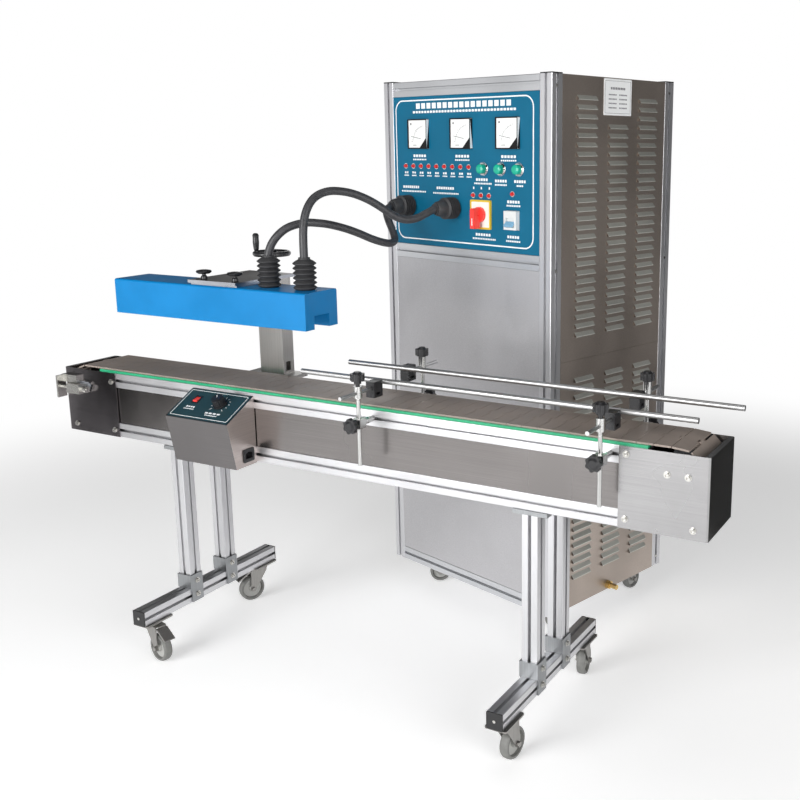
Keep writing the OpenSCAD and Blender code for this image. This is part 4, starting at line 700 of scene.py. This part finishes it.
def paleFloor():
    finish = Finish("paleFloor", (0.8, 0.8, 0.8), 0.9)
    tree, shader = finish.tree, finish.shader
    for name, value in (("Base Color", (floorValues["albedo"],) * 3 + (1,)), ("Specular IOR Level", 0.0)):
        shader.inputs[name].default_value = value
    white = finish.add("ShaderNodeEmission")
    lift = finish.add("ShaderNodeEmission")
    lift.inputs["Strength"].default_value = floorValues["glow"]
    both = finish.add("ShaderNodeAddShader")
    finish.link(shader.outputs["BSDF"], both.inputs[0])
    finish.link(lift.outputs["Emission"], both.inputs[1])
    coords = finish.add("ShaderNodeTexCoord")
    reach = finish.add("ShaderNodeVectorMath")
    reach.operation = "LENGTH"
    finish.link(coords.outputs["Object"], reach.inputs[0])
    fade = finish.add("ShaderNodeMapRange")
    fade.interpolation_type = "SMOOTHSTEP"
    fade.inputs["From Min"].default_value = floorValues["fadeStart"]
    fade.inputs["From Max"].default_value = floorValues["fadeEnd"]
    finish.link(reach.outputs["Value"], fade.inputs["Value"])
    far = finish.add("ShaderNodeMixShader")
    finish.link(fade.outputs["Result"], far.inputs["Fac"])
    finish.link(both.outputs["Shader"], far.inputs[1])
    finish.link(white.outputs["Emission"], far.inputs[2])
    paths = finish.add("ShaderNodeLightPath")
    seen = finish.add("ShaderNodeMath")
    seen.operation = "MAXIMUM"
    finish.link(paths.outputs["Is Camera Ray"], seen.inputs[0])
    finish.link(paths.outputs["Is Glossy Ray"], seen.inputs[1])
    pick = finish.add("ShaderNodeMixShader")
    finish.link(seen.outputs["Value"], pick.inputs["Fac"])
    finish.link(shader.outputs["BSDF"], pick.inputs[1])
    finish.link(far.outputs["Shader"], pick.inputs[2])
    finish.link(pick.outputs["Shader"], tree.nodes["Material Output"].inputs["Surface"])
    return finish.mat


bm = bmesh.new()
bmesh.ops.create_grid(bm, x_segments=1, y_segments=1, size=floorValues["size"] / 2)
floor = meshObject("floor", bm, paleFloor())
floor.location = (0, 0, -0.0005)

cardValues = [
    ("rightCard", (2.4, 1.2, 1.1), (1.0, 0.0, 0.0), 3.2, 2.2, 0.10),
    ("leftCard", (-2.2, -1.82, 0.3), (0.0, 1.0, 0.0), 1.55, 0.6, 0.01),
]
for name, middle, run, width, height, shade in cardValues:  # dark flags, seen only in reflections
    bm = bmesh.new()
    along, rise = Vector(run) * width / 2, Vector((0, 0, height / 2))
    at = fromBelt(*[1000 * c for c in middle])
    bm.faces.new([bm.verts.new(at + a * along + b * rise) for a, b in ((-1, -1), (1, -1), (1, 1), (-1, 1))])
    card = meshObject(name, bm, Finish(name, (shade,) * 3, 0.9, 0.0, Specular_IOR_Level=0.0).mat)
    card.visible_camera = card.visible_diffuse = card.visible_shadow = card.visible_transmission = False

worldValues = {
    "horizon": 0.85, "zenith": 0.05, "diffuseHorizon": 0.62, "diffuseZenith": 0.05, "low": 0.0, "high": 0.24,
}
world = bpy.data.worlds.new("studio")
scene.world = world
world.use_nodes = True
sky, link = world.node_tree.nodes, world.node_tree.links.new
backdrop = sky["Background"]
backdrop.inputs["Color"].default_value = (1, 1, 1, 1)
paths = sky.new("ShaderNodeLightPath")
coords = sky.new("ShaderNodeTexCoord")
split = sky.new("ShaderNodeSeparateXYZ")
link(coords.outputs["Generated"], split.inputs["Vector"])


def skyLevel(horizon, zenith):  # brightness by height above the horizon
    level = sky.new("ShaderNodeMapRange")
    level.interpolation_type = "SMOOTHSTEP"
    ends = (("From Min", worldValues["low"]), ("From Max", worldValues["high"]),
            ("To Min", horizon), ("To Max", zenith))
    for name, value in ends:
        level.inputs[name].default_value = value
    link(split.outputs["Z"], level.inputs["Value"])
    return level.outputs["Result"]


def eitherLevel(test, no, yes):
    mix = sky.new("ShaderNodeMix")
    link(test, mix.inputs["Factor"])
    link(no, mix.inputs["A"])
    if yes is None:
        mix.inputs["B"].default_value = 1.0
    else:
        link(yes, mix.inputs["B"])
    return mix.outputs["Result"]


soft = skyLevel(worldValues["diffuseHorizon"], worldValues["diffuseZenith"])
mirrored = skyLevel(worldValues["horizon"], worldValues["zenith"])
unseen = eitherLevel(paths.outputs["Is Glossy Ray"], soft, mirrored)
link(eitherLevel(paths.outputs["Is Camera Ray"], unseen, None), backdrop.inputs["Strength"])

lampValues = [
    ("keySoftbox", (-1.0, -4.2, 1.6), (0, 0, 0.8), 2.6, 165),
    ("fillSoftbox", (3.6, -2.2, 1.5), (0, 0, 0.8), 2.4, 85),
    ("topSoftbox", (0.0, -0.4, 4.6), (0, 0, 0.4), 2.6, 22),
    ("backSoftbox", (-2.2, 3.4, 1.8), (0, 0, 0.8), 2.0, 12),
]
for name, place, aim, size, power in lampValues:
    data = bpy.data.lights.new(name, "AREA")
    data.size = size
    data.energy = power
    lamp = bpy.data.objects.new(name, data)
    lamp.location = place
    lamp.rotation_euler = (Vector(aim) - Vector(place)).to_track_quat("-Z", "Y").to_euler()
    scene.collection.objects.link(lamp)
print("floor and lamps set")
